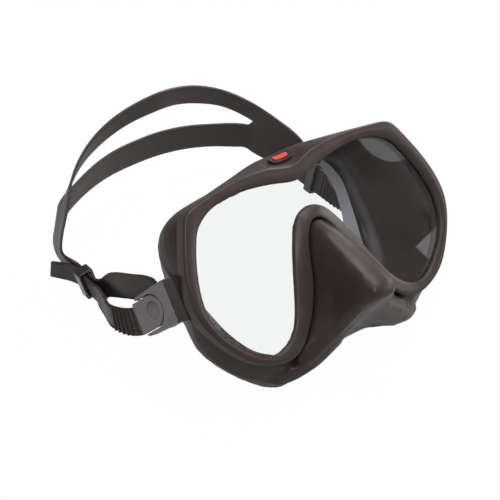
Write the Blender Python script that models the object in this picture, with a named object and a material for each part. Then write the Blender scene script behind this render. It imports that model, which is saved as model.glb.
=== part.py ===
"""Diving mask: bezel, lens, silicone skirt, buckles and head strap, resting on a table.

Lengths below are in millimetres. The mask is drawn upright in its own frame, where X runs across
the face, the second number is the depth behind the front of the bezel and the third is the height
above the middle of the lens. It is then leaned back onto its cheeks, as it lies on a table.
"""

import math

import bmesh
import bpy
from mathutils import Matrix, Vector

MM = 0.001

# How the mask lies on the table
LEAN = math.radians(38.0)
LENS_HEIGHT = 63.7
LENS_SETBACK = -61.0

# Clearances
FIT_GAP = 0.3
SKIRT_GAP = 0.4
NOSE_GAP = 0.6

# Lens, bezel and inner frame
LENS_SEAT = 2.4
LENS_THICKNESS = 4.0
INNER_FRAME_THICKNESS = 1.5
BEZEL_WALL = 1.7
BEZEL_EDGE = 0.9
BEZEL_CROWN = 0.35
SAMPLES_PER_STATION = 3

LENS_FRONT = LENS_SEAT + FIT_GAP
LENS_BACK = LENS_FRONT + LENS_THICKNESS
INNER_FRAME_FRONT = LENS_BACK + FIT_GAP
BEZEL_REAR = INNER_FRAME_FRONT + INNER_FRAME_THICKNESS
SKIRT_FRONT = BEZEL_REAR + SKIRT_GAP

# Half outlines, from the top of the bridge round one eye to the top of the nose notch
WINDOW_EDGE = [
    (0.0, 33.5), (13.0, 36.7), (31.0, 39.7), (48.5, 38.7), (59.0, 33.7), (64.2, 27.2),
    (70.4, 12.5), (73.7, -5.0), (69.5, -20.3), (58.5, -33.0), (47.5, -39.5), (37.5, -36.7),
    (30.1, -27.5), (23.7, -12.8), (17.0, 3.3), (9.4, 16.2), (0.0, 20.1),
]
BEZEL_RIDGE = [
    (0.0, 41.4), (13.0, 45.0), (32.0, 46.3), (52.0, 44.1), (63.6, 41.6), (69.0, 34.0),
    (77.2, 14.5), (80.0, -4.0), (74.6, -20.3), (62.5, -37.0), (47.5, -44.7), (34.5, -43.6),
    (22.8, -31.4), (14.6, -15.4), (9.2, 1.4), (4.2, 10.9), (0.0, 13.0),
]
# How far the top of the bezel rises, and reaches back past the rest, at the first stations
BRIDGE_RISE = [8.0, 4.6, 0.9, 0.2, 0.4]
BRIDGE_REACH = [7.5, 5.5, 1.5]
# How far the ring stands forward beside the nose, and how far the inner frame and the skirt keep
# back from the window there, at the last stations
NOSE_RING_RISE = [3.0, 3.0, 3.0, 3.0, 2.0, 0.6]
NOSE_INSET = [2.6, 2.9, 3.6, 4.6, 3.6, 1.6]

# Skirt, in rings from front to back: across, depth behind the skirt's front, height
SKIRT_WALL = 2.0
CHEEK_WALL = 1.3
NOSE_WALL = 2.8
SKIRT_RINGS = [
    [(0, 0, 43.0), (26, 0, 43.8), (62, 0, 39.8), (71.3, 0, 26), (75.6, 0, -1), (72.3, 0, -19.5),
     (59.5, 0, -36.5), (46, 0, -46.0), (34, 0, -51.5), (20, 0, -50), (0, 0, -48.2)],
    [(0, 6.6, 46.4), (27, 8, 44.6), (62, 10, 41.2), (73.2, 10, 28), (74.6, 9, 0), (75.8, 9, -22),
     (64.6, 9, -41.6), (47.4, 9, -54.0), (36.5, 4.6, -57.0), (24, 3.6, -52.2), (0, 5, -50.2)],
    [(0, 15, 46.6), (27, 17, 44.6), (58.5, 20.5, 40), (71.6, 21, 27), (70.6, 21, 1), (73, 20, -23),
     (61.2, 18, -42.8), (43.6, 20.6, -58.3), (37.4, 12, -57.8), (24, 11.2, -51.8), (0, 11, -51.6)],
    [(0, 27, 43), (25, 29, 42), (53.5, 34, 36), (63.5, 35, 25), (66, 35, 2), (65.5, 34, -20),
     (55, 32, -38), (42, 32.6, -49.3), (34, 28, -52.4), (20, 23, -51.5), (0, 20, -48)],
    [(0, 34, 39), (23, 37, 38.6), (51, 43, 34.6), (59.5, 44.6, 24), (62, 45.5, 1), (60, 44, -16),
     (50.5, 38.6, -35), (39.5, 35.1, -46.2), (31.5, 31.3, -49.2), (18, 26.6, -50), (0, 24, -45)],
    [(0, 35.6, 36.4), (21.5, 39.2, 36.2), (47.6, 46.1, 31.8), (54.2, 48.0, 20.6), (54.4, 48.8, 0),
     (52, 47.3, -13.5), (46.5, 41.0, -32.5), (37.5, 36.9, -44.4), (30, 33.1, -47.5),
     (17, 28.6, -48), (0, 26.4, -42)],
]
# Where each station of the bezel meets the skirt's rings, counted in ring points
SKIRT_STATIONS = [
    0.0, 0.5, 1.1, 1.75, 2.05, 2.5, 3.4, 4.1, 5.0, 5.9, 6.8, 7.5, 8.1, 8.6, 9.1, 9.6, 10.0,
]

# Nose pocket, in half sections from the ridge over the nostril edge to the underside
NOSE_BASES = [
    (9.4, [(36.5, -50.5), (31.0, -56.2), (16.0, -51.8), (0, -48.0)]),
    (3.0, [(33.0, -49.8), (25.6, -53.6), (14.5, -50.4), (0, -45.5)]),
]
# The same for the hollow, before its wall is taken off
NOSE_HOLLOW_BASES = [
    (11.6, [(34.0, -45.4), (28.0, -46.4), (14.0, -46.4), (0, -45.6)]),
    (3.0, [(33.0, -49.8), (25.6, -53.0), (14.5, -50.2), (0, -45.5)]),
]
NOSE_SECTIONS = [
    (-3.0, [(0, 12.2), (3.8, 10.0), (8.6, 1.0), (13.8, -15.5), (20.5, -30.0), (26.0, -40.5),
            (24.0, -46.0), (18.0, -48.6), (9.5, -46.6), (0, -44.2)]),
    (-12.0, [(0, 5.2), (4.8, 3.4), (8.2, -4.0), (11.6, -15.0), (14.6, -26.5), (17.0, -36.8),
             (15.4, -39.2), (11.4, -41.0), (5.8, -41.4), (0, -41.3)]),
    (-22.0, [(0, -5.2), (5.2, -6.6), (8.0, -12.0), (10.2, -19.5), (12.0, -27.0), (13.3, -33.4),
             (11.8, -35.2), (8.4, -36.6), (4.2, -37.3), (0, -37.4)]),
    (-32.0, [(0, -17.0), (4.6, -18.0), (7.2, -21.2), (8.6, -24.6), (9.4, -27.8), (9.6, -30.4),
             (8.2, -31.9), (5.8, -32.9), (3.0, -33.5), (0, -33.6)]),
    (-37.0, [(0, -23.8), (3.2, -24.3), (5.2, -25.8), (6.0, -27.5), (6.0, -29.2), (5.2, -30.6),
             (4.4, -31.2), (3.0, -31.6), (1.5, -31.8), (0, -31.8)]),
]
NOSE_TIP = (-38.2, 0.45)
# Back of the hollow in the pocket, where it opens into the mask
NOSE_MOUTH = (14.0, [(0, 8.0), (3, 6.0), (6.5, -2.0), (11.5, -17.0), (19, -32.0), (28, -42.0),
                     (26.5, -42.8), (20.0, -43.4), (10.0, -43.4), (0, -43.0)])

# Badge on the bridge
BADGE_LENGTH = 14.0
BADGE_WIDTH = 7.0
BADGE_THICKNESS = 1.2
BADGE_DEPTH = 8.4
BADGE_BEND = 0.02
BADGE_GAP = 0.5
BADGE_STEPS = 10
INLAY_LENGTH = 8.6
INLAY_WIDTH = 3.4
INLAY_THICKNESS = 0.6
INLAY_GAP = 0.1

# Lugs, the soft tabs at the temples
LUG_TOP = 15.7
LUG_BOTTOM = -6.8
LUG_EDGE_INSET = 0.1
LUG_ROOT_THICKNESS = 2.7
LUG_OUTER = max(across for across, _ in BEZEL_RIDGE) - LUG_EDGE_INSET
LUG_INNER = LUG_OUTER - LUG_ROOT_THICKNESS
LUG_END_THICKNESS = 4.4
LUG_PIN_RADIUS = 0.6
LUG_PIN_INSET = 2.4
LUG_PIN_HALF_LENGTH = 8.0

# Buckles. A buckle's own axes run along the strap, across it and out of its plate
SEAM = (81.5, 17.4, 4.9)
BUCKLE_ALONG = (0.292, 0.943, -0.174)
BUCKLE_ACROSS = (-0.10, 0.29, 0.95)
FORK_HALF_HEIGHT = 11.2
FORK_REAR_HALF_HEIGHT = 10.2
FORK_WEB = 6.4
FORK_REAR = 14.0
FORK_WEB_THICKNESS = 4.9
FORK_CORNER = 1.2
EAR_FRONT = -2.2
EAR_REAR = 3.2
EAR_DEPTH = 1.5
EAR_OUTSIDE = 10.5
TONGUE_LENGTH = 4.2
TONGUE_HALF_WIDTH = 5.0
TONGUE_THICKNESS = 2.2
LEVER_GAP = 1.2
LEVER_SIDE_GAP = 0.5
LEVER_HALF_WIDTH = 8.3
LEVER_THICKNESS = 2.2
LEVER_LENGTH = 20.5
LEVER_LIP = 0.9
LEVER_PIN_ALONG = 9.5
LEVER_PIN_RADIUS = 0.5
THUMB_RECESS_RADIUS = 5.0
THUMB_RECESS_DEPTH = 0.6
THUMB_RECESS_ALONG = 3.6
PIN_GAP = 0.25
ROLLER_RADIUS = 1.6
ROLLER_GAP = 0.3
ROLLER_STUB_RADIUS = 0.7
ROUND_STEPS = 16

# Strap
STRAP_WIDTH = 15.0
STRAP_THICKNESS = 1.6
STRAP_LAYER_GAP = 1.4
STRAP_SAMPLES = 3
WRAP_STEPS = 8

FORK_INSIDE = LEVER_HALF_WIDTH + LEVER_SIDE_GAP
WRAP_RADIUS = ROLLER_RADIUS + ROLLER_GAP + STRAP_THICKNESS / 2
LEVER_UNDERSIDE = WRAP_RADIUS + STRAP_THICKNESS / 2 + LEVER_GAP
LEVER_TOP = LEVER_UNDERSIDE + LEVER_THICKNESS
LEVER_FRONT = -3.6
FORK_FRONT = LEVER_FRONT - LEVER_SIDE_GAP - FORK_WEB
LEVER_PIN_HEIGHT = LEVER_UNDERSIDE + LEVER_THICKNESS / 2

# Keepers
KEEPER_WALL = 1.5
KEEPER_LENGTH = 5.5
KEEPER_GAP = 0.5
KEEPER_ACROSS_X = 75.8
KEEPER_BACK = 99.8
KEEPER_HEIGHT = 13.2
KEEPER_TILT = math.radians(15.0)
KEEPER_STRAIGHT = 7.0
KEEPER_LEAD = 2.0

# Back of the strap, one side: the edges of the upper band, then of the lower band,
# each as across, distance behind the lens centre, height over the table
BACK_EDGES = [
    [(0, 142, 78.5), (0, 145, 65.4), (0, 164.6, 35.1), (0, 170, 15.6)],
    [(16, 144.5, 75.0), (16, 148.2, 61.9), (16, 163.7, 35.0), (16, 168.8, 15.9)],
    [(32, 145.5, 69.0), (32, 149.6, 55.8), (32, 159.5, 34.6), (32, 164.7, 16.0)],
    [(48, 142.5, 60.6), (48, 147.2, 48.6), (48, 154.0, 32.3), (48, 159.0, 14.4)],
    [(61, 135.5, 51.0), (60.5, 142.0, 39.4), (60.5, 148.6, 30.4), (61, 152.4, 12.2)],
    [(66.5, 130.0, 45.8), (65.0, 139.6, 35.2), (65.0, 145.0, 29.4), (66.0, 149.0, 11.6)],
]
SLOT_END = len(BACK_EDGES) - 1
# The rest of the strap, one side, by its upper and lower edge: where the bands have met, the inner
# layer between keeper and buckle, which hangs lower on the left, and the tail between lever and
# keeper and past it
MERGED_EDGES = [
    [(72.5, 124.5, 39.5), (69.0, 146.0, 8.6)],
    [(79.0, 119.5, 32.0), (72.3, 139.0, 6.3)],
    [(82.6, 114.6, 25.0), (74.2, 129.5, 6.0)],
]
INNER_EDGES = {
    "left": [
        [(75.2, 81.5, 16.8), (77.2, 80.0, 2.8)],
        [(74.8, 60.5, 21.5), (79.0, 61.5, 7.5)],
        [(73.6, 46.0, 36.0), (79.0, 46.0, 23.0)],
    ],
    "right": [
        [(75.2, 81.5, 29.5), (77.4, 80.0, 15.5)],
        [(74.5, 60.5, 42.0), (79.8, 61.5, 28.0)],
        [(73.6, 46.0, 49.0), (79.0, 46.0, 36.0)],
    ],
}
TAIL_EDGES = [
    [(91.6, 54.6, 34.0), (91.2, 52.5, 20.0)],
    [(86.5, 68.4, 28.0), (85.4, 69.4, 13.2)],
    [(81.0, 84.0, 22.0), (79.8, 84.0, 7.4)],
]
TAIL_END = [(87.0, 119.3, 18.8), (85.2, 124.6, 5.0)]

SIDES = {"left": 1, "right": -1}


# Frames
def mask_matrix():
    """Place of the mask's own frame in the world."""
    place = Matrix.Translation(Vector((0, LENS_SETBACK, LENS_HEIGHT)) * MM)
    return place @ Matrix.Rotation(-LEAN, 4, "X")


def frame_matrix(origin, first, second, third):
    """Matrix with the given axes as columns, at a place in millimetres."""
    matrix = Matrix((first, second, third)).transposed().to_4x4()
    matrix.translation = Vector(origin) * MM
    return matrix


def buckle_axes(side):
    """Along, across and outward directions of a buckle, in the mask's frame."""
    along = Vector((BUCKLE_ALONG[0] * side, *BUCKLE_ALONG[1:])).normalized()
    hint = Vector((BUCKLE_ACROSS[0] * side, *BUCKLE_ACROSS[1:]))
    across = (hint - hint.dot(along) * along).normalized()
    return along, across, along.cross(across) * side


def buckle_matrix(side):
    """Place of a buckle's frame in the world: its origin is the middle of the strap roller."""
    along, across, outward = buckle_axes(side)
    seam = Vector((SEAM[0] * side, *SEAM[1:]))
    origin = seam - FORK_FRONT * along - LEVER_TOP * outward
    return mask_matrix() @ frame_matrix(origin, along, across * side, outward)


def keeper_axes(side):
    """Along, across and outward directions of a keeper, in the world."""
    across = Vector((math.sin(KEEPER_TILT) * side, 0, math.cos(KEEPER_TILT)))
    outward = Vector((math.cos(KEEPER_TILT) * side, 0, -math.sin(KEEPER_TILT)))
    return Vector((0, 1, 0)), across, outward


def keeper_centre(side):
    """Middle of the inner strap layer in a keeper."""
    return Vector((KEEPER_ACROSS_X * side, KEEPER_BACK + LENS_SETBACK, KEEPER_HEIGHT))


# Curves
def loop_point(points, position):
    """Point on the smooth closed curve through the points, at a position counted in points."""
    count = len(points)
    index = math.floor(position)
    share = position - index
    before, start, end, after = [Vector(points[(index + k) % count]) for k in (-1, 0, 1, 2)]
    linear = end - before
    square = 2 * before - 5 * start + 4 * end - after
    cube = 3 * start - before - 3 * end + after
    return start + 0.5 * share * (linear + share * (square + share * cube))


def mirrored(half):
    """Closed loop from a half outline whose first and last points lie on the middle plane."""
    other = [(-p[0], *p[1:]) for p in half[-2:0:-1]]
    return list(half) + other


def smooth_open(points, samples):
    """Points along the smooth open curve through the given points, however unevenly they lie."""
    points = [Vector(point) for point in points]
    lengths = [(after - before).length for before, after in zip(points, points[1:])]
    slopes = [(after - before) / length for before, after, length in zip(points, points[1:], lengths)]
    tangents = [slopes[0]]
    for before, after, near, far in zip(slopes, slopes[1:], lengths, lengths[1:]):
        tangents.append((before * far + after * near) / (near + far))
    tangents.append(slopes[-1])
    made = []
    for index, length in enumerate(lengths):
        for step in range(samples):
            t = step / samples
            made.append(
                points[index] * (2 * t ** 3 - 3 * t ** 2 + 1)
                + points[index + 1] * (3 * t ** 2 - 2 * t ** 3)
                + tangents[index] * length * (t ** 3 - 2 * t ** 2 + t)
                + tangents[index + 1] * length * (t ** 3 - t ** 2)
            )
    return made + [points[-1]]


def smooth_closed(points, samples):
    """Points along the smooth closed curve through the given points."""
    return [loop_point(points, step / samples) for step in range(len(points) * samples)]


# Objects
def material(name, colour, roughness, metallic=0.0):
    """Principled material with a plain colour."""
    made = bpy.data.materials.new(name)
    made.use_nodes = True
    shader = made.node_tree.nodes["Principled BSDF"]
    shader.inputs["Base Color"].default_value = (*colour, 1.0)
    shader.inputs["Roughness"].default_value = roughness
    shader.inputs["Metallic"].default_value = metallic
    return made


def empty(name, matrix):
    """Empty that carries the pieces of one moving group."""
    made = bpy.data.objects.new(name, None)
    made.matrix_world = matrix
    bpy.context.collection.objects.link(made)
    return made


def solid(name, mesh_builder, finish, matrix, carrier=None):
    """Object from a bmesh in millimetres, placed by a world matrix and carried by an empty."""
    bmesh.ops.recalc_face_normals(mesh_builder, faces=mesh_builder.faces)
    bmesh.ops.scale(mesh_builder, vec=(MM, MM, MM), verts=mesh_builder.verts)
    mesh = bpy.data.meshes.new(name)
    mesh_builder.to_mesh(mesh)
    mesh_builder.free()
    mesh.shade_smooth()
    mesh.set_sharp_from_angle(angle=math.radians(35))
    made = bpy.data.objects.new(name, mesh)
    bpy.context.collection.objects.link(made)
    if finish:
        mesh.materials.append(finish)
    if carrier:
        made.parent = carrier
        made.matrix_parent_inverse = carrier.matrix_basis.inverted()
    made.matrix_basis = matrix
    return made


def tool(name, mesh_builder, matrix, carrier=None):
    """Hidden shape that cuts or joins another piece."""
    made = solid(name, mesh_builder, None, matrix, carrier)
    made.hide_render = True
    made.display_type = "WIRE"
    return made


def combine(target, other, operation):
    """Boolean of the target with a hidden shape."""
    modifier = target.modifiers.new(other.name, "BOOLEAN")
    modifier.operation = operation
    modifier.solver = "EXACT"
    modifier.object = other


# Mesh shapes
def grid(rows, close_columns=True, close_rows=False):
    """Faces between rows of points; rows that close make a ring-shaped solid."""
    builder = bmesh.new()
    made = [[builder.verts.new(point) for point in row] for row in rows]
    pairs = list(zip(made, made[1:]))
    if close_rows:
        pairs.append((made[-1], made[0]))
    count = len(rows[0])
    for near, far in pairs:
        for column in range(count if close_columns else count - 1):
            after = (column + 1) % count
            builder.faces.new((near[column], near[after], far[after], far[column]))
    return builder, made


def loft(rings):
    """Solid through closed rings, with flat ends."""
    builder, made = grid(rings)
    builder.faces.new(made[0])
    builder.faces.new(made[-1])
    return builder


def prism(outline, low, high):
    """Straight solid over an outline in the first two axes."""
    return loft([[(x, y, height) for x, y in outline] for height in (low, high)])


def block(low, high):
    """Box between two corners."""
    outline = [(low[0], low[1]), (high[0], low[1]), (high[0], high[1]), (low[0], high[1])]
    return prism(outline, low[2], high[2])


def rounded_box(low, high, radius):
    """Outline of a box in the first two axes, with round corners."""
    corners = [(high[0], high[1], 0), (low[0], high[1], 1), (low[0], low[1], 2), (high[0], low[1], 3)]
    outline = []
    for x, y, quarter in corners:
        centre_x = x - math.copysign(radius, x - low[0] - high[0] + x)
        centre_y = y - math.copysign(radius, y - low[1] - high[1] + y)
        for step in range(5):
            angle = math.pi / 2 * (quarter + step / 4)
            outline.append((centre_x + radius * math.cos(angle), centre_y + radius * math.sin(angle)))
    return outline


def across_rod(radius, low, high, along, height, steps=ROUND_STEPS):
    """Round rod that runs across a buckle."""
    turn = [2 * math.pi * (step + 0.5) / steps for step in range(steps)]
    rings = [
        [(along + radius * math.cos(t), across, height + radius * math.sin(t)) for t in turn]
        for across in (low, high)
    ]
    return loft(rings)


# Bezel, lens and inner frame
def per_station(first, last):
    """Values for all stations of a half outline, given at its start and at its end."""
    middle = len(WINDOW_EDGE) - len(first) - len(last)
    return list(first) + [0.0] * middle + list(reversed(last))


class Station:
    """One sample round the bezel."""

    def __init__(self, window, ridge, rise, reach, nose, inset):
        self.window = window
        self.width = (ridge - window).length
        self.outward = (ridge - window).normalized()
        self.rise = rise
        self.reach = reach
        self.nose = nose
        self.inset = SKIRT_GAP + inset

    def at(self, distance, depth):
        """Point at a distance outward from the window edge, at a depth."""
        place = self.window + self.outward * distance
        return Vector((place.x, depth, place.y))


def sampled_stations():
    """Stations all round the bezel."""
    rise = per_station(BRIDGE_RISE, [])
    reach = per_station(BRIDGE_REACH, [])
    nose = per_station([], NOSE_RING_RISE)
    inset = per_station([], NOSE_INSET)
    window = smooth_closed(mirrored(WINDOW_EDGE), SAMPLES_PER_STATION)
    ridge = smooth_closed(mirrored(BEZEL_RIDGE), SAMPLES_PER_STATION)
    values = mirrored([(0.0, *item) for item in zip(rise, reach, nose, inset)])
    smooth_values = smooth_closed([item[1:] for item in values], SAMPLES_PER_STATION)
    return [Station(w, r, *v) for w, r, v in zip(window, ridge, smooth_values)]


def bezel_section(station):
    """Closed section of the bezel at a station: lip, outer wall and lens seat."""
    width = station.width
    nose = station.nose
    rear = BEZEL_REAR + station.reach
    rear_top = width + station.rise
    return [
        station.at(0, 1.2),
        station.at(BEZEL_EDGE, 0.3 - 0.1 * nose),
        station.at(width / 2, -BEZEL_CROWN - 0.5 * nose),
        station.at(width - BEZEL_EDGE, -0.95 * nose),
        station.at(width, BEZEL_EDGE - nose),
        station.at(rear_top, rear),
        station.at(rear_top - BEZEL_WALL, rear),
        station.at(width - BEZEL_WALL, LENS_SEAT),
        station.at(0, LENS_SEAT),
    ]


def ring_solid(sections):
    """Ring-shaped solid from closed sections, given in order round the ring."""
    rows = [list(row) for row in zip(*sections)]
    return grid(rows, close_rows=True)[0]


def add_front(finishes, carrier, place):
    """Bezel, lens and inner frame."""
    round_the_lens = sampled_stations()
    bezel = ring_solid([bezel_section(station) for station in round_the_lens])
    solid("front_bezel", bezel, finishes["bezel"], place, carrier)

    edge = BEZEL_WALL + SKIRT_GAP
    faces = (LENS_FRONT, LENS_BACK)
    lens = loft([[s.at(s.width - edge, depth) for s in round_the_lens] for depth in faces])
    solid("lens", lens, finishes["glass"], place, carrier)

    sections = []
    for s in round_the_lens:
        outer = s.width - edge
        sections.append([
            s.at(s.inset, INNER_FRAME_FRONT), s.at(outer, INNER_FRAME_FRONT),
            s.at(outer, BEZEL_REAR), s.at(s.inset, BEZEL_REAR),
        ])
    solid("inner_frame", ring_solid(sections), finishes["frame"], place, carrier)
    return round_the_lens


# Skirt
def skirt_rows(round_the_lens):
    """Rows of the skirt's shell: out over the flange, back along the wall and in again."""
    positions = [value[0] for value in smooth_positions()]
    rings = []
    for ring in SKIRT_RINGS:
        loop = mirrored([(x, SKIRT_FRONT + depth, height) for x, depth, height in ring])
        rings.append([loop_point(loop, position) for position in positions])
    outer = []
    for column in zip(*rings):
        outer.append(smooth_open([tuple(p) for p in column], 2))
    outer = [list(row) for row in zip(*outer)]
    lip = [s.at(s.inset, SKIRT_FRONT) for s in round_the_lens]
    lip_back = [s.at(s.inset, SKIRT_FRONT + SKIRT_WALL) for s in round_the_lens]
    inner = offset_rows(outer, SKIRT_WALL)
    outer = [[above_table(point, 0.0) for point in row] for row in outer]
    inner = [[above_table(point, CHEEK_WALL) for point in row] for row in inner]
    inner[0] = [Vector((p.x, SKIRT_FRONT + SKIRT_WALL, p.z)) for p in inner[0]]
    return [lip] + outer + inner[::-1] + [lip_back]


def above_table(point, height):
    """Point of the skirt, lifted to a height over the table where it would be lower."""
    level = (point.y * math.sin(LEAN) - LENS_HEIGHT + height) / math.cos(LEAN)
    return Vector((point.x, point.y, max(point.z, level)))


def smooth_positions():
    """Ring positions of the bezel's samples, running on past the half way mark."""
    last = SKIRT_STATIONS[-1]
    full = SKIRT_STATIONS + [2 * last - p for p in SKIRT_STATIONS[-2::-1]]
    made = []
    for step in range((len(full) - 1) * SAMPLES_PER_STATION):
        index = step // SAMPLES_PER_STATION
        share = step / SAMPLES_PER_STATION - index
        made.append((full[index] * (1 - share) + full[index + 1] * share,))
    return made


def offset_rows(rows, distance):
    """Rows moved along the surface's inward normals."""
    count = len(rows[0])
    moved = []
    for index, row in enumerate(rows):
        before = rows[max(index - 1, 0)]
        after = rows[min(index + 1, len(rows) - 1)]
        line = []
        for column, point in enumerate(row):
            around = row[(column + 1) % count] - row[column - 1]
            back = after[column] - before[column]
            normal = back.cross(around).normalized()
            line.append(point + normal * distance)
        moved.append(line)
    return moved


def nose_sections(round_the_lens, bases):
    """Half sections of the nose pocket, the first ones following the notch of the bezel."""
    last = (len(WINDOW_EDGE) - 1) * SAMPLES_PER_STATION
    first = last - (len(NOSE_RING_RISE) - 1) * SAMPLES_PER_STATION
    notch = []
    for station in round_the_lens[last:first - 1:-1]:
        point = station.at(station.width + NOSE_GAP, 0)
        notch.append(Vector((point.x, point.z)))
    sections = []
    for depth, underside in bases:
        sections.append((depth, notch + smooth_open([notch[-1]] + underside, SAMPLES_PER_STATION)[1:]))
    count = len(sections[0][1])
    for depth, half in NOSE_SECTIONS:
        sections.append((depth, smooth_closed(mirrored(half), SAMPLES_PER_STATION)[:count]))
    return sections


def inset_loop(loop, distance):
    """Closed plane loop drawn in toward its middle."""
    middle = sum(loop, Vector((0, 0))) / len(loop)
    return [point + (middle - point).normalized() * distance for point in loop]


def nose_rings(sections, inset, tip_shift):
    """Rings of the nose pocket from its base to its tip."""
    rings = []
    for depth, half in sections:
        loop = [Vector(point) for point in mirrored(half)]
        if inset:
            loop = inset_loop(loop, inset)
        place = depth
        if depth < 0:
            place = depth + tip_shift * (depth / NOSE_SECTIONS[-1][0])
        rings.append([Vector((p.x, place, p.y)) for p in loop])
    tip_depth, tip_scale = NOSE_TIP
    middle = sum(rings[-1], Vector()) / len(rings[-1])
    tip = []
    for point in rings[-1]:
        shrunk = middle + (point - middle) * tip_scale
        tip.append(Vector((shrunk.x, tip_depth + tip_shift, shrunk.z)))
    return rings + [tip]


def section_ring(section):
    """Ring given by its depth and half outline."""
    depth, half = section
    loop = smooth_closed(mirrored(half), SAMPLES_PER_STATION)
    return [Vector((p.x, depth, p.y)) for p in loop]


def add_skirt(finishes, carrier, place, round_the_lens):
    """Skirt with its nose pocket, flat where its cheeks rest on the table."""
    shell = ring_solid([list(column) for column in zip(*skirt_rows(round_the_lens))])
    skirt = solid("skirt", shell, finishes["silicone"], place, carrier)
    outside = nose_rings(nose_sections(round_the_lens, NOSE_BASES), 0, 0)
    inside = nose_sections(round_the_lens, NOSE_HOLLOW_BASES)
    inside = [section_ring(NOSE_MOUTH)] + nose_rings(inside, NOSE_WALL, NOSE_WALL)
    pocket = tool("nose_outside", loft(outside), place, carrier)
    cavity = tool("nose_inside", loft(inside), place, carrier)
    combine(skirt, pocket, "UNION")
    combine(skirt, cavity, "DIFFERENCE")


# Badge
def bent_oval(length, width, low, high):
    """Oval plate that bends with the bridge, in sections across the face."""
    rings = []
    for step in range(BADGE_STEPS + 1):
        share = 2 * step / BADGE_STEPS - 1
        x = length / 2 * math.sin(math.pi / 2 * share)
        half = width / 2 * max(1 - abs(share) ** 4, 0.2)
        bend = BADGE_BEND * x * x
        under = low + bend
        over = high + bend
        rings.append([(x, -half, under), (x, half, under), (x, half, over), (x, -half, over)])
    return loft(rings)


def add_badge(finishes, carrier, place):
    """Oval pad on the bridge and the plain inlay on it."""
    front = Vector((0, BEZEL_EDGE, BEZEL_RIDGE[0][1]))
    rear = Vector((0, BEZEL_REAR + BRIDGE_REACH[0], BEZEL_RIDGE[0][1] + BRIDGE_RISE[0]))
    back = (rear - front).normalized()
    up = Vector((1, 0, 0)).cross(back)
    seat = front + back * ((BADGE_DEPTH - BEZEL_EDGE) / back.y) + up * BADGE_GAP
    frame = place @ frame_matrix(seat, Vector((1, 0, 0)), back, up)
    pad = bent_oval(BADGE_LENGTH, BADGE_WIDTH, 0, BADGE_THICKNESS)
    solid("badge_pad", pad, finishes["rubber"], frame, carrier)
    low = BADGE_THICKNESS + INLAY_GAP
    inlay = bent_oval(INLAY_LENGTH, INLAY_WIDTH, low, low + INLAY_THICKNESS)
    solid("badge_inlay", inlay, finishes["red"], frame, carrier)


# Lugs and buckles
def lug_rings(side):
    """Four-cornered rings of a lug, from the bezel to the buckle."""
    along, across, outward = buckle_axes(side)
    seam = Vector((SEAM[0] * side, *SEAM[1:]))
    root_depth = BEZEL_REAR + FIT_GAP
    corners = [(LUG_OUTER, LUG_TOP), (LUG_OUTER, LUG_BOTTOM), (LUG_INNER, LUG_BOTTOM), (LUG_INNER, LUG_TOP)]
    root = [Vector((x * side, root_depth, u)) for x, u in corners]
    end = []
    for height, up in ((0, 1), (0, -1), (-LUG_END_THICKNESS, -1), (-LUG_END_THICKNESS, 1)):
        end.append(seam - along * FIT_GAP + across * up * FORK_HALF_HEIGHT + outward * height)
    middle = [r.lerp(e, 0.5) for r, e in zip(root, end)]
    return [root, middle, end]


def lug_pin_place():
    """Where the lug pin lies in a buckle's frame: along and height."""
    return FORK_FRONT - LUG_PIN_INSET, LEVER_TOP - LUG_END_THICKNESS / 2


def add_lug(name, side, finishes, carrier, place, swing):
    """Soft tab at the temple, with the pocket for the buckle's tongue, and its pin."""
    lug = solid("buckle_lug_" + name, loft(lug_rings(side)), finishes["silicone"], place, carrier)
    frame = buckle_matrix(side)
    low, high = tongue_corners(FIT_GAP)
    pocket = tool("lug_pocket_" + name, block(low, high), frame)
    along, height = lug_pin_place()
    reach = LUG_PIN_HALF_LENGTH
    hole = across_rod(LUG_PIN_RADIUS + PIN_GAP, -reach - FIT_GAP, reach + FIT_GAP, along, height)
    bore = tool("lug_bore_" + name, hole, frame)
    combine(lug, pocket, "DIFFERENCE")
    combine(lug, bore, "DIFFERENCE")
    pin = across_rod(LUG_PIN_RADIUS, -reach, reach, along, height)
    solid("lug_pin_" + name, pin, finishes["steel"], frame, swing)


def tongue_corners(grow):
    """Low and high corners of the tongue that the lug holds."""
    middle = LEVER_TOP - LUG_END_THICKNESS / 2
    half = TONGUE_THICKNESS / 2 + grow
    low = (FORK_FRONT - TONGUE_LENGTH - grow, -TONGUE_HALF_WIDTH - grow, middle - half)
    high = (FORK_FRONT + FORK_WEB / 2, TONGUE_HALF_WIDTH + grow, middle + half)
    return low, high


def lever_outline(grow, rear):
    """D-shaped outline of the release lever, with a round front end."""
    radius = LEVER_HALF_WIDTH + grow
    centre = LEVER_FRONT + LEVER_HALF_WIDTH
    outline = [(rear, -radius)]
    outline += [(rear, radius)]
    for step in range(ROUND_STEPS + 1):
        angle = math.pi / 2 + math.pi * step / ROUND_STEPS
        outline.append((centre + radius * math.cos(angle), radius * math.sin(angle)))
    return outline


def fork_outline():
    """Outline of the fork, a little narrower at the rear, with its corners taken off."""
    front, rear, cut = FORK_FRONT, FORK_REAR, FORK_CORNER
    upper = [
        (rear, FORK_REAR_HALF_HEIGHT - cut), (rear - cut, FORK_REAR_HALF_HEIGHT),
        (front + cut, FORK_HALF_HEIGHT), (front, FORK_HALF_HEIGHT - cut),
    ]
    return upper + [(along, -across) for along, across in reversed(upper)]


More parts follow.
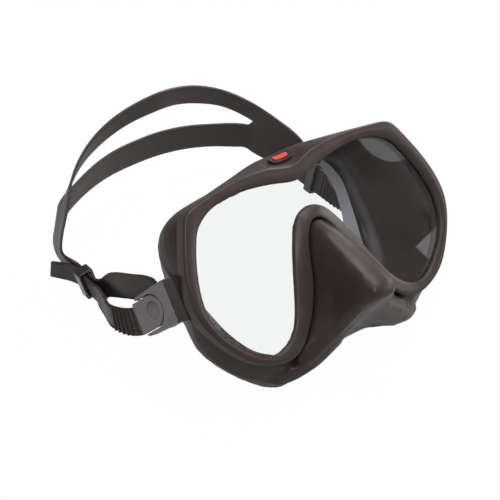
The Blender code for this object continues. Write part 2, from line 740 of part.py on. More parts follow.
def add_buckle_frame(name, side, finishes, swing):
    """Fork that carries the lever and the roller."""
    frame = buckle_matrix(side)
    half = FORK_HALF_HEIGHT
    low = LEVER_TOP - FORK_WEB_THICKNESS
    plate = prism(fork_outline(), low, LEVER_TOP)
    fork = solid("buckle_frame_" + name, plate, finishes["buckle"], frame, swing)
    inner = FORK_INSIDE
    far = FORK_REAR + FORK_WEB
    past = FORK_WEB
    for sign, label in ((1, "upper"), (-1, "lower")):
        edges = sorted((sign * inner, sign * EAR_OUTSIDE))
        ear = block((EAR_FRONT, edges[0], -EAR_DEPTH), (EAR_REAR, edges[1], LEVER_UNDERSIDE))
        combine(fork, tool(label + "_ear_" + name, ear, frame), "UNION")
    way = block((FORK_FRONT + FORK_WEB, -inner, -past), (far, inner, LEVER_UNDERSIDE))
    parts = [
        ("tongue_", block(*tongue_corners(0)), "UNION"),
        ("strap_way_", way, "DIFFERENCE"),
        ("lever_way_", prism(lever_outline(LEVER_SIDE_GAP, far), 0, LEVER_TOP + past), "DIFFERENCE"),
        ("roller_bore_", across_rod(ROLLER_STUB_RADIUS + PIN_GAP, -half - 1, half + 1, 0, 0), "DIFFERENCE"),
        ("lever_bore_", lever_pin_rod(LEVER_PIN_RADIUS + PIN_GAP, half + 1), "DIFFERENCE"),
        ("anchor_bore_", lug_pin_rod(), "DIFFERENCE"),
    ]
    for label, shape, operation in parts:
        combine(fork, tool(label + name, shape, frame), operation)


def lug_pin_rod():
    """Bore for the lug pin through the tongue."""
    along, height = lug_pin_place()
    return across_rod(LUG_PIN_RADIUS + PIN_GAP, -FORK_HALF_HEIGHT, FORK_HALF_HEIGHT, along, height)


def lever_pin_rod(radius, reach):
    """Rod on the lever's axis."""
    return across_rod(radius, -reach, reach, LEVER_PIN_ALONG, LEVER_PIN_HEIGHT)


def add_lever(name, side, finishes, swing):
    """D-shaped release lever on its pin."""
    frame = buckle_matrix(side)
    pivot = Vector((LEVER_PIN_ALONG, 0, LEVER_PIN_HEIGHT))
    at_pivot = frame @ Matrix.Translation(pivot * MM)
    rear = LEVER_FRONT + LEVER_LENGTH
    plate = prism(lever_outline(0, rear), LEVER_UNDERSIDE, LEVER_TOP)
    bmesh.ops.translate(plate, vec=-pivot, verts=plate.verts)
    lever = solid("release_lever_" + name, plate, finishes["buckle"], at_pivot, swing)
    lip_low = (rear - 1.6, -STRAP_WIDTH / 2, LEVER_UNDERSIDE - LEVER_LIP)
    lip = block(lip_low, (rear, STRAP_WIDTH / 2, LEVER_UNDERSIDE + 0.5))
    combine(lever, tool("lever_lip_" + name, lip, frame), "UNION")
    turn = [2 * math.pi * step / (2 * ROUND_STEPS) for step in range(2 * ROUND_STEPS)]
    radius = THUMB_RECESS_RADIUS
    circle = [(THUMB_RECESS_ALONG + radius * math.cos(t), radius * math.sin(t)) for t in turn]
    dish = prism(circle, LEVER_TOP - THUMB_RECESS_DEPTH, LEVER_TOP + 1)
    combine(lever, tool("thumb_recess_" + name, dish, frame), "DIFFERENCE")
    bore = lever_pin_rod(LEVER_PIN_RADIUS + PIN_GAP, FORK_HALF_HEIGHT)
    combine(lever, tool("lever_hole_" + name, bore, frame), "DIFFERENCE")
    pin = lever_pin_rod(LEVER_PIN_RADIUS, FORK_REAR_HALF_HEIGHT - FIT_GAP)
    solid("lever_pin_" + name, pin, finishes["steel"], frame, swing)


def add_roller(name, side, finishes, swing):
    """Strap roller with a stub at each end, turned about its own axis."""
    frame = buckle_matrix(side)
    body = FORK_INSIDE - FIT_GAP
    stub = EAR_OUTSIDE - FIT_GAP
    profile = [(-stub, ROLLER_STUB_RADIUS), (-body, ROLLER_STUB_RADIUS), (-body, ROLLER_RADIUS),
               (body, ROLLER_RADIUS), (body, ROLLER_STUB_RADIUS), (stub, ROLLER_STUB_RADIUS)]
    turn = [2 * math.pi * (step + 0.5) / ROUND_STEPS for step in range(ROUND_STEPS)]
    rings = [[(r * math.cos(t), across, r * math.sin(t)) for t in turn] for across, r in profile]
    solid("strap_roller_" + name, loft(rings), finishes["steel"], frame, swing)


# Strap and keepers
def ribbon_columns(upper, lower):
    """Four points across the strap from its upper to its lower edge."""
    return [upper.lerp(lower, share) for share in (0.0, 0.42, 0.58, 1.0)]


def strap_side(name, side):
    """Rows of four points along one side of the strap, from the back of the head to the tail's end."""
    shift = Vector((0, LENS_SETBACK, 0))

    def place(point):
        return Vector((point[0] * side, point[1], point[2])) + shift

    back = [[place(point) for point in row] for row in BACK_EDGES]
    half = STRAP_WIDTH / 2
    _, keeper_across, keeper_outward = keeper_axes(side)
    centre = keeper_centre(side)
    layer = STRAP_THICKNESS + STRAP_LAYER_GAP

    def in_keeper(along, lift):
        middle = centre + Vector((0, along, 0)) + keeper_outward * lift
        return ribbon_columns(middle + keeper_across * half, middle - keeper_across * half)

    buckle = buckle_matrix(side)
    _, across_mask, _ = buckle_axes(side)
    across = mask_matrix().to_3x3() @ across_mask

    def in_buckle(along, height):
        middle = buckle @ (Vector((along, 0, height)) * MM) / MM
        return ribbon_columns(middle + across * half, middle - across * half)

    straight = KEEPER_STRAIGHT
    lead = KEEPER_LEAD

    def edges(rows):
        return [ribbon_columns(place(upper), place(lower)) for upper, lower in rows]

    passes = (straight + lead, straight, -straight, -straight - lead)
    inner = back + edges(MERGED_EDGES) + [in_keeper(along, 0) for along in passes]
    inner += edges(INNER_EDGES[name]) + [in_buckle(WRAP_RADIUS, -WRAP_RADIUS)]

    wrap = []
    for step in range(WRAP_STEPS + 1):
        angle = -math.pi / 2 - math.pi * step / WRAP_STEPS
        wrap.append(in_buckle(WRAP_RADIUS * math.cos(angle), WRAP_RADIUS * math.sin(angle)))

    rear = LEVER_FRONT + LEVER_LENGTH
    outer = [in_buckle(rear / 2, WRAP_RADIUS), in_buckle(rear, WRAP_RADIUS)]
    outer += [in_buckle(rear + 5, WRAP_RADIUS + 0.4)]
    outer += edges(TAIL_EDGES) + [in_keeper(along, layer) for along in reversed(passes)]
    outer += edges([TAIL_END])
    across_the_middle = [Vector((-point.x, point.y, point.z)) for point in inner[1]]
    inner = smooth_rows([across_the_middle] + inner)[STRAP_SAMPLES:]
    return inner, wrap, smooth_rows(outer)


def smooth_rows(rows):
    """Rows of points with more rows in between, on smooth curves along them."""
    columns = [smooth_open([tuple(p) for p in column], STRAP_SAMPLES) for column in zip(*rows)]
    return [list(row) for row in zip(*columns)]


def add_strap(finishes, swing):
    """Head strap: one ribbon with a long slot at the back, given its thickness."""
    halves = {}
    for name, side in SIDES.items():
        inner, wrap, outer = strap_side(name, side)
        halves[name] = inner + wrap + outer
    rows = halves["right"][:0:-1] + halves["left"]
    middle = len(halves["right"]) - 1
    slot = SLOT_END * STRAP_SAMPLES
    builder = bmesh.new()
    made = [[builder.verts.new(point) for point in row] for row in rows]
    for index, (near, far) in enumerate(zip(made, made[1:])):
        in_slot = middle - slot <= index < middle + slot
        for column in range(3):
            if in_slot and column == 1:
                continue
            builder.faces.new((near[column], near[column + 1], far[column + 1], far[column]))
    strap = solid("head_strap", builder, finishes["silicone"], Matrix.Identity(4), swing)
    wall = strap.modifiers.new("thickness", "SOLIDIFY")
    wall.thickness = STRAP_THICKNESS * MM
    wall.offset = 0


def add_keeper(name, side, finishes, swing):
    """Loop that holds the strap's tail against it."""
    along, across, outward = keeper_axes(side)
    frame = frame_matrix(keeper_centre(side), along, across * side, along.cross(across * side))
    half = STRAP_WIDTH / 2 + KEEPER_GAP
    low = -STRAP_THICKNESS / 2 - KEEPER_GAP
    high = STRAP_THICKNESS * 1.5 + STRAP_LAYER_GAP + KEEPER_GAP
    turned = 1 if along.cross(across * side).dot(outward) > 0 else -1
    heights = sorted((turned * low, turned * high))
    hole = rounded_box((-half, heights[0]), (half, heights[1]), 0.5)
    wall = KEEPER_WALL
    skin = rounded_box((-half - wall, heights[0] - wall), (half + wall, heights[1] + wall), wall)
    sections = []
    for inner, outer in zip(hole, skin):
        reach = KEEPER_LENGTH / 2
        sections.append([
            Vector((-reach, *outer)), Vector((reach, *outer)),
            Vector((reach, *inner)), Vector((-reach, *inner)),
        ])
    solid("strap_keeper_" + name, ring_solid(sections), finishes["gloss"], frame, swing)


def build():
    """The whole mask."""
    for item in list(bpy.data.objects):
        bpy.data.objects.remove(item)
    finishes = {
        "bezel": material("soft_touch_plastic", (0.043, 0.036, 0.036), 0.55),
        "frame": material("nylon", (0.020, 0.018, 0.018), 0.5),
        "glass": material("tempered_glass", (0.80, 0.85, 0.84), 0.05),
        "silicone": material("black_silicone", (0.028, 0.024, 0.023), 0.6),
        "rubber": material("badge_rubber", (0.010, 0.009, 0.010), 0.6),
        "red": material("red_enamel", (0.85, 0.10, 0.08), 0.4),
        "buckle": material("grey_acetal", (0.15, 0.14, 0.145), 0.5),
        "gloss": material("gloss_acetal", (0.05, 0.045, 0.048), 0.2),
        "steel": material("stainless_steel", (0.6, 0.6, 0.6), 0.3, 1.0),
    }
    place = mask_matrix()
    body = empty("mask_frame", place)
    pivot = place @ Vector((0, (BEZEL_REAR + SEAM[1]) / 2 * MM, SEAM[2] * MM))
    swing = empty("strap_swing_axis", Matrix.Translation(pivot))
    round_the_lens = add_front(finishes, body, place)
    add_skirt(finishes, body, place, round_the_lens)
    add_badge(finishes, body, place)
    for name, side in SIDES.items():
        add_lug(name, side, finishes, body, place, swing)
        add_buckle_frame(name, side, finishes, swing)
        add_lever(name, side, finishes, swing)
        add_roller(name, side, finishes, swing)
        add_keeper(name, side, finishes, swing)
    add_strap(finishes, swing)


build()
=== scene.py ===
"""Look of the diving mask: finishes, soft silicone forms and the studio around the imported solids."""
import logging
import math
from dataclasses import dataclass, field
from enum import Enum
from typing import Any, Iterable, Optional

import bmesh
import bpy
import numpy as np
from mathutils import Matrix, Vector
from mathutils.kdtree import KDTree


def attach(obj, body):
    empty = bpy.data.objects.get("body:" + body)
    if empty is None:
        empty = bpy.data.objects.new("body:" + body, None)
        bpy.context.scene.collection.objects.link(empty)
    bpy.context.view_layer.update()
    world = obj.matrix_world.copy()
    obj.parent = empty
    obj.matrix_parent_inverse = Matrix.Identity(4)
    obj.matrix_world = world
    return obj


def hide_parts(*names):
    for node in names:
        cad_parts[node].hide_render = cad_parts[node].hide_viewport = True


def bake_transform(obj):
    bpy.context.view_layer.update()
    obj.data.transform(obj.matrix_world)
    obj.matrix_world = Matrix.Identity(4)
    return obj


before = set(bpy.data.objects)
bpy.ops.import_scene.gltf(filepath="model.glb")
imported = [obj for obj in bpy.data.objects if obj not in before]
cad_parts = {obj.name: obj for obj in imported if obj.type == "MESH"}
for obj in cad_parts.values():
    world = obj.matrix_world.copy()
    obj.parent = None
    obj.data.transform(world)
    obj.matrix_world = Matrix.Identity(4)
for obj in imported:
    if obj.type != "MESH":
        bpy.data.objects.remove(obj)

LOG = logging.getLogger("diving_mask")
MM = 0.001
SIDES = {"left": 1, "right": -1}
LENS_CENTRE_MM = (0.0, -61.0, 63.7)
LENS_LEAN = math.radians(38.0)
STRAP_HALF_WIDTH_MM = 7.5
JOIN_MM = 0.002


def linear(hex_colour: str) -> tuple[float, float, float, float]:
    """Turn an sRGB hex colour into linear light.

    Args:
        hex_colour: six hex digits after a hash sign.

    Returns:
        Red, green, blue and an alpha of one.
    """
    values = [int(hex_colour[i:i + 2], 16) / 255 for i in (1, 3, 5)]
    bent = [v / 12.92 if v <= 0.04045 else ((v + 0.055) / 1.055) ** 2.4 for v in values]
    return bent[0], bent[1], bent[2], 1.0


def add_node(tree: bpy.types.NodeTree, kind: str, sockets: Optional[dict] = None,
             **settings: Any) -> bpy.types.Node:
    """Add a node with its settings, its socket values and the links into it.

    Args:
        tree: node tree that gets the node.
        kind: Blender's name for the kind of node.
        sockets: input name or number, with a value or the output that feeds it.
        settings: the node's own options.

    Returns:
        The new node.
    """
    node = tree.nodes.new(kind)
    for name, value in settings.items():
        setattr(node, name, value)
    for key, value in (sockets or {}).items():
        if isinstance(value, bpy.types.NodeSocket):
            tree.links.new(value, node.inputs[key])
        else:
            node.inputs[key].default_value = value
    return node


def new_material(name: str) -> tuple[bpy.types.Material, bpy.types.NodeTree]:
    """Make an empty node material.

    Args:
        name: the real material's name.

    Returns:
        The material and its node tree.
    """
    material = bpy.data.materials.new(name)
    material.use_nodes = True
    material.node_tree.nodes.clear()
    return material, material.node_tree


def new_geometry_tree(name: str, inputs: dict[str, str]) -> tuple[bpy.types.NodeTree, bpy.types.Node]:
    """Make a geometry node tree with named inputs.

    Args:
        name: tree name.
        inputs: each input's name and kind of socket.

    Returns:
        The tree and its group input node.
    """
    tree = bpy.data.node_groups.new(name, "GeometryNodeTree")
    tree.interface.new_socket(name="Geometry", in_out="INPUT", socket_type="NodeSocketGeometry")
    for label, kind in inputs.items():
        tree.interface.new_socket(name=label, in_out="INPUT", socket_type=kind)
    tree.interface.new_socket(name="Geometry", in_out="OUTPUT", socket_type="NodeSocketGeometry")
    return tree, tree.nodes.new("NodeGroupInput")


def rib_tree() -> bpy.types.NodeTree:
    """Make the tree that sets round bars across a path at an even pitch.

    Returns:
        The tree.
    """
    tree, given = new_geometry_tree("ribs_across_path", {
        "Pitch": "NodeSocketFloat", "Radius": "NodeSocketFloat", "Material": "NodeSocketMaterial"})
    path = add_node(tree, "GeometryNodeMeshToCurve", {"Mesh": given.outputs["Geometry"]})
    stops = add_node(tree, "GeometryNodeResampleCurve", {
        "Curve": path.outputs["Curve"], "Length": given.outputs["Pitch"]}, mode="LENGTH")
    bar = add_node(tree, "GeometryNodeMeshCylinder", {
        "Vertices": 14, "Radius": given.outputs["Radius"], "Depth": 1.0})
    across = add_node(tree, "GeometryNodeInputNamedAttribute", {"Name": "across"},
                      data_type="FLOAT_VECTOR")
    outward = add_node(tree, "GeometryNodeInputNamedAttribute", {"Name": "outward"},
                       data_type="FLOAT_VECTOR")
    span = add_node(tree, "GeometryNodeInputNamedAttribute", {"Name": "span"}, data_type="FLOAT")
    turn = add_node(tree, "FunctionNodeAxesToRotation", {
        "Primary Axis": across.outputs["Attribute"], "Secondary Axis": outward.outputs["Attribute"]},
        primary_axis="Z", secondary_axis="X")
    size = add_node(tree, "ShaderNodeCombineXYZ", {"X": 1.0, "Y": 1.0, "Z": span.outputs["Attribute"]})
    bars = add_node(tree, "GeometryNodeInstanceOnPoints", {
        "Points": stops.outputs["Curve"], "Instance": bar.outputs["Mesh"],
        "Rotation": turn.outputs["Rotation"], "Scale": size.outputs["Vector"]})
    return dressed_output(tree, bars.outputs["Instances"], given.outputs["Material"])


def rail_tree() -> bpy.types.NodeTree:
    """Make the tree that sweeps a round bead along a path.

    Returns:
        The tree.
    """
    tree, given = new_geometry_tree("bead_along_path", {
        "Radius": "NodeSocketFloat", "Material": "NodeSocketMaterial"})
    path = add_node(tree, "GeometryNodeMeshToCurve", {"Mesh": given.outputs["Geometry"]})
    ring = add_node(tree, "GeometryNodeCurvePrimitiveCircle", {
        "Resolution": 10, "Radius": given.outputs["Radius"]})
    bead = add_node(tree, "GeometryNodeCurveToMesh", {
        "Curve": path.outputs["Curve"], "Profile Curve": ring.outputs["Curve"], "Fill Caps": True})
    return dressed_output(tree, bead.outputs["Mesh"], given.outputs["Material"])


def dressed_output(tree: bpy.types.NodeTree, shape: bpy.types.NodeSocket,
                   material: bpy.types.NodeSocket) -> bpy.types.NodeTree:
    """End a geometry tree with real mesh in its material.

    Args:
        tree: the tree to end.
        shape: output with the geometry.
        material: output with the material.

    Returns:
        The same tree.
    """
    real = add_node(tree, "GeometryNodeRealizeInstances", {"Geometry": shape})
    dressed = add_node(tree, "GeometryNodeSetMaterial", {
        "Geometry": real.outputs["Geometry"], "Material": material})
    add_node(tree, "NodeGroupOutput", {"Geometry": dressed.outputs["Geometry"]})
    return tree


@dataclass(frozen=True)
class Moulded:
    """Moulded plastic or rubber: a body colour with faint mottling and the mould's fine texture.

    The mottle is the slow change of shade that handling and powder leave; the grain is the
    texture of the mould. Where a piece has a matt share, its mould was blasted matt, which makes it
    rougher, and its colour is mixed toward a paler one: that paler colour is painted sheen, light on the
    seal painted in.
    Grain finer than the picture can hold is drawn as coarse as it needs.
    """

    name: str
    colour: str
    mottle: str
    roughness: float
    roughness_spread: float = 0.06
    mottle_mm: float = 14.0
    grain_mm: float = 0.35
    grain_depth_mm: float = 0.0015
    specular: float = 0.5
    coat: float = 0.0
    coat_roughness: float = 0.12
    ior: float = 1.46
    # The paler colour where the seal is matt is painted sheen; its roughness is the real matt finish.
    matt_and_painted_sheen: Optional[str] = None
    frost_roughness: float = 0.6

    def material(self) -> bpy.types.Material:
        """Build the node material.

        Returns:
            The material.
        """
        material, tree = new_material(self.name)
        place = add_node(tree, "ShaderNodeTexCoord").outputs["Object"]
        slow = add_node(tree, "ShaderNodeTexNoise", {
            "Vector": place, "Scale": 1000 / self.mottle_mm, "Detail": 4.0, "Roughness": 0.6})
        shade = add_node(tree, "ShaderNodeValToRGB", {"Fac": slow.outputs["Fac"]})
        shade.color_ramp.elements[0].position = 0.35
        shade.color_ramp.elements[0].color = linear(self.colour)
        shade.color_ramp.elements[1].position = 0.75
        shade.color_ramp.elements[1].color = linear(self.mottle)
        spread = self.roughness_spread
        gloss = add_node(tree, "ShaderNodeMapRange", {
            "Value": slow.outputs["Fac"], "From Min": 0.3, "From Max": 0.7,
            "To Min": self.roughness - spread, "To Max": self.roughness + spread})
        grain = add_node(tree, "ShaderNodeTexNoise", {
            "Vector": place, "Scale": 1000 / self.grain_mm, "Detail": 2.0, "Roughness": 0.5})
        bump = add_node(tree, "ShaderNodeBump", {
            "Height": grain.outputs["Fac"], "Strength": 1.0, "Distance": self.grain_depth_mm * MM})
        colour, roughness = shade.outputs["Color"], gloss.outputs["Result"]
        # Mix toward the paler colour by the matt share: painted sheen on the seal, with the real matt
        # roughness.
        if self.matt_and_painted_sheen:
            matt = add_node(tree, "ShaderNodeAttribute", attribute_name="matt_and_painted_sheen").outputs["Fac"]
            colour = add_node(tree, "ShaderNodeMix", {
                0: matt, 6: colour, 7: linear(self.matt_and_painted_sheen)}, data_type="RGBA").outputs[2]
            roughness = add_node(tree, "ShaderNodeMix", {
                0: matt, 2: roughness, 3: self.frost_roughness}, data_type="FLOAT").outputs[0]
        surface = add_node(tree, "ShaderNodeBsdfPrincipled", {
            "Base Color": colour, "Roughness": roughness, "Normal": bump.outputs["Normal"],
            "IOR": self.ior, "Specular IOR Level": self.specular,
            "Coat Weight": self.coat, "Coat Roughness": self.coat_roughness})
        add_node(tree, "ShaderNodeOutputMaterial", {"Surface": surface.outputs["BSDF"]})
        return material


@dataclass(frozen=True)
class ClearGlass:
    """Tempered glass: clear and polished, with a faint green in its thickness.

    Lamp light passes straight to what is behind it.
    """

    name: str
    tint: str
    ior: float = 1.52

    def material(self) -> bpy.types.Material:
        """Build the node material.

        Returns:
            The material.
        """
        material, tree = new_material(self.name)
        glass = add_node(tree, "ShaderNodeBsdfPrincipled", {
            "Base Color": linear(self.tint), "Roughness": 0.0, "IOR": self.ior, "Transmission Weight": 1.0})
        through = add_node(tree, "ShaderNodeBsdfTransparent", {"Color": linear(self.tint)})
        path = add_node(tree, "ShaderNodeLightPath")
        mixed = add_node(tree, "ShaderNodeMixShader", {
            "Fac": path.outputs["Is Shadow Ray"], 1: glass.outputs["BSDF"], 2: through.outputs["BSDF"]})
        add_node(tree, "ShaderNodeOutputMaterial", {"Surface": mixed.outputs["Shader"]})
        return material


@dataclass(frozen=True)
class DrawnSteel:
    """Stainless bar, drawn: fine lines round the bar spread its highlight."""

    name: str
    colour: str
    roughness: float = 0.28
    line_mm: float = 0.12

    def material(self) -> bpy.types.Material:
        """Build the node material.

        Returns:
            The material.
        """
        material, tree = new_material(self.name)
        place = add_node(tree, "ShaderNodeTexCoord").outputs["Object"]
        lines = add_node(tree, "ShaderNodeTexNoise", {
            "Vector": place, "Scale": 1000 / self.line_mm, "Detail": 1.0})
        gloss = add_node(tree, "ShaderNodeMapRange", {
            "Value": lines.outputs["Fac"], "To Min": self.roughness - 0.08, "To Max": self.roughness + 0.1})
        surface = add_node(tree, "ShaderNodeBsdfPrincipled", {
            "Base Color": linear(self.colour), "Metallic": 1.0, "Roughness": gloss.outputs["Result"]})
        add_node(tree, "ShaderNodeOutputMaterial", {"Surface": surface.outputs["BSDF"]})
        return material


class Finishes(Enum):
    """The record's material slots, each with the finish of the real material."""

    # Soft-touch coat on moulded plastic: warm black with a broad, dim highlight.
    soft_touch_plastic = Moulded("soft_touch_plastic", "#362d2c", "#3d3432", 0.4, specular=0.4)
    # Moulded nylon: plain satin black.
    nylon = Moulded("moulded_nylon", "#2a2728", "#302d2e", 0.4, specular=0.4)
    # Tempered glass: clear, with sharp reflections of the studio.
    tempered_glass = ClearGlass("tempered_glass", "#fcfefd")
    # Moulded silicone: warm black with a satin skin; where the seal is matt it is rougher and painted
    # paler, as painted sheen.
    black_silicone = Moulded("black_silicone", "#332a28", "#3a312f", 0.38, specular=0.45, mottle_mm=20.0,
                             matt_and_painted_sheen="#9a989e")
    # Moulded rubber: dull black.
    badge_rubber = Moulded("badge_rubber", "#2a2525", "#302b2b", 0.45, specular=0.4)
    # Enamel: plain bright red under a thin gloss.
    red_enamel = Moulded("red_enamel", "#e04a36", "#e4523f", 0.25, coat=0.4)
    # Acetal from an eroded mould: mid grey with a fine, even texture.
    grey_acetal = Moulded("grey_acetal", "#7a7477", "#807a7d", 0.36, grain_mm=0.4, grain_depth_mm=0.003)
    # Acetal from a polished mould: black with narrow, bright highlights.
    gloss_acetal = Moulded("gloss_acetal", "#2a2627", "#302c2d", 0.16, grain_depth_mm=0.0005, coat=1.0)
    # Drawn stainless bar: bright metal in the buckle's gaps.
    stainless_steel = DrawnSteel("stainless_steel", "#c8c6c2")


class Wardrobe:
    """Keeps one material for each finish."""

    def __init__(self) -> None:
        """Start with nothing made."""
        self.made: dict[str, bpy.types.Material] = {}

    def get(self, slot: str) -> bpy.types.Material:
        """Return the material of a slot, made on first use.

        Args:
            slot: the record's name for the material slot.

        Returns:
            The material.
        """
        if slot not in self.made:
            self.made[slot] = Finishes[slot].value.material()
        return self.made[slot]


class Surfacing(Enum):
    """How a copy of a solid is given its finished surface."""

    SWEPT = "strips of quads, edges rounded and once subdivided"
    CUT = "flat faces with rounded edges"


class Bench:
    """Makes, finishes and hangs pieces on their bodies."""

    def __init__(self, wardrobe: Wardrobe) -> None:
        """Remember where materials come from."""
        self.wardrobe = wardrobe

    def object_from(self, name: str, mesh: bpy.types.Mesh) -> bpy.types.Object:
        """Put a mesh in the scene at the origin.

        Args:
            name: piece name.
            mesh: its mesh, already in place.

        Returns:
            The new object.
        """
        made = bpy.data.objects.new(name, mesh)
        bpy.context.scene.collection.objects.link(made)
        return made

    def plain(self, piece: bpy.types.Object) -> bpy.types.Object:
        """Turn a piece's modifiers into plain mesh.

        Args:
            piece: object with modifiers.

        Returns:
            The same object, without modifiers.
        """
        bpy.context.view_layer.update()
        graph = bpy.context.evaluated_depsgraph_get()
        mesh = bpy.data.meshes.new_from_object(piece.evaluated_get(graph), depsgraph=graph)
        piece.modifiers.clear()
        piece.data = mesh
        return piece

    def grown(self, name: str, mesh: bpy.types.Mesh, tree: bpy.types.NodeTree,
              values: dict[str, Any]) -> bpy.types.Object:
        """Let a geometry tree grow a piece on a path.

        Args:
            name: piece name.
            mesh: the path, with its attributes.
            tree: the geometry tree.
            values: the tree's named inputs.

        Returns:
            The finished object.
        """
        piece = self.object_from(name, mesh)
        modifier = piece.modifiers.new("repeat", "NODES")
        modifier.node_group = tree
        for item in tree.interface.items_tree:
            if item.in_out == "INPUT" and item.name in values:
                modifier[item.identifier] = values[item.name]
        return self.plain(piece)

    def hang(self, piece: bpy.types.Object, slot: str, body: Optional[str],
             nodes: Iterable[str] = ()) -> None:
        """Dress a piece, hang it on its body and let it stand for solids.

        Args:
            piece: the finished piece.
            slot: the record's material slot.
            body: the body that carries it, or nothing where it bends between two.
            nodes: solids that it stands for.
        """
        piece.data.materials.clear()
        piece.data.materials.append(self.wardrobe.get(slot))
        if body:
            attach(piece, body)
        for node in nodes:
            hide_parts(node)
        LOG.info("%s: %d faces", piece.name, len(piece.data.polygons))

    def merged_copy(self, node: str) -> bmesh.types.BMesh:
        """Copy a solid's mesh with its loose triangles joined.

        Args:
            node: name of the solid.

        Returns:
            The joined mesh, to be freed by the caller.
        """
        copy = bmesh.new()
        copy.from_mesh(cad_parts[node].data)
        bmesh.ops.remove_doubles(copy, verts=copy.verts[:], dist=JOIN_MM * MM)
        return copy

    def refined(self, node: str, name: str, surfacing: Surfacing, edge_mm: float,
                segments: int = 2, angle: float = 25.0) -> bpy.types.Object:
        """Copy a solid with rounded edges and a smooth surface.

        Args:
            node: name of the solid.
            name: name of the new piece.
            surfacing: how the surface is finished.
            edge_mm: width of the rounded edges.
            segments: steps round an edge.
            angle: edges that turn more than this many degrees are rounded.

        Returns:
            The finished object.
        """
        copy = self.merged_copy(node)
        if surfacing is Surfacing.SWEPT:
            bmesh.ops.join_triangles(copy, faces=copy.faces[:], angle_face_threshold=math.radians(35),
                                     angle_shape_threshold=math.radians(60))
        else:
            bmesh.ops.dissolve_limit(copy, angle_limit=math.radians(1.0),
                                     verts=copy.verts[:], edges=copy.edges[:])
        mesh = bpy.data.meshes.new(name)
        copy.to_mesh(mesh)
        copy.free()
        mesh.shade_smooth()
        piece = self.object_from(name, mesh)
        bevel = piece.modifiers.new("edges", "BEVEL")
        bevel.width = edge_mm * MM
        bevel.segments = segments
        bevel.limit_method = "ANGLE"
        bevel.angle_limit = math.radians(angle)
        bevel.use_clamp_overlap = True
        if surfacing is Surfacing.SWEPT:
            smooth = piece.modifiers.new("smooth", "SUBSURF")
            smooth.levels = 1
            smooth.render_levels = 1
        else:
            weighted = piece.modifiers.new("weighted", "WEIGHTED_NORMAL")
            weighted.keep_sharp = False
        return self.plain(piece)


@dataclass
class Front:
    """Bezel, lens, inner frame and the badge on the bridge."""

    bench: Bench
    bezel_edge_mm: float = 0.45
    inner_edge_mm: float = 0.2
    lens_edge_mm: float = 0.3
    badge_edge_mm: float = 0.3
    inlay_edge_mm: float = 0.15

    def build(self) -> None:
        """Make and hang the front's pieces."""
        bezel = self.bench.refined("front_bezel", "bezel_moulding", Surfacing.SWEPT, self.bezel_edge_mm)
        self.bench.hang(bezel, "soft_touch_plastic", "mask", ["front_bezel"])
        inner = self.bench.refined("inner_frame", "inner_frame_ring", Surfacing.SWEPT, self.inner_edge_mm)
        self.bench.hang(inner, "nylon", "mask", ["inner_frame"])
        lens = self.bench.refined("lens", "lens_pane", Surfacing.CUT, self.lens_edge_mm, 1, 60.0)
        self.bench.hang(lens, "tempered_glass", "mask", ["lens"])
        pad = self.bench.refined("badge_pad", "bridge_badge", Surfacing.CUT, self.badge_edge_mm, 3, 40.0)
        self.bench.hang(pad, "badge_rubber", "mask", ["badge_pad"])
        inlay = self.bench.refined("badge_inlay", "badge_oval", Surfacing.CUT, self.inlay_edge_mm, 2, 40.0)
        self.bench.hang(inlay, "red_enamel", "mask", ["badge_inlay"])


def from_lens(place: tuple[float, float, float], sign: int) -> Vector:
    """Turn a place in the mask's own lean into the world.

    Args:
        place: across, behind the lens and up the lens, in millimetres.
        sign: one for the left side, minus one for the right.

    Returns:
        The place in millimetres.
    """
    across, behind, up = place
    return Vector(LENS_CENTRE_MM) + Vector((
        across * sign, up * math.sin(LENS_LEAN) + behind * math.cos(LENS_LEAN),
        up * math.cos(LENS_LEAN) - behind * math.sin(LENS_LEAN)))


@dataclass(frozen=True)
class Roll:
    """A rounded roll of silicone: its radius, and its line in the mask's own lean."""

    radius_mm: float
    line: tuple


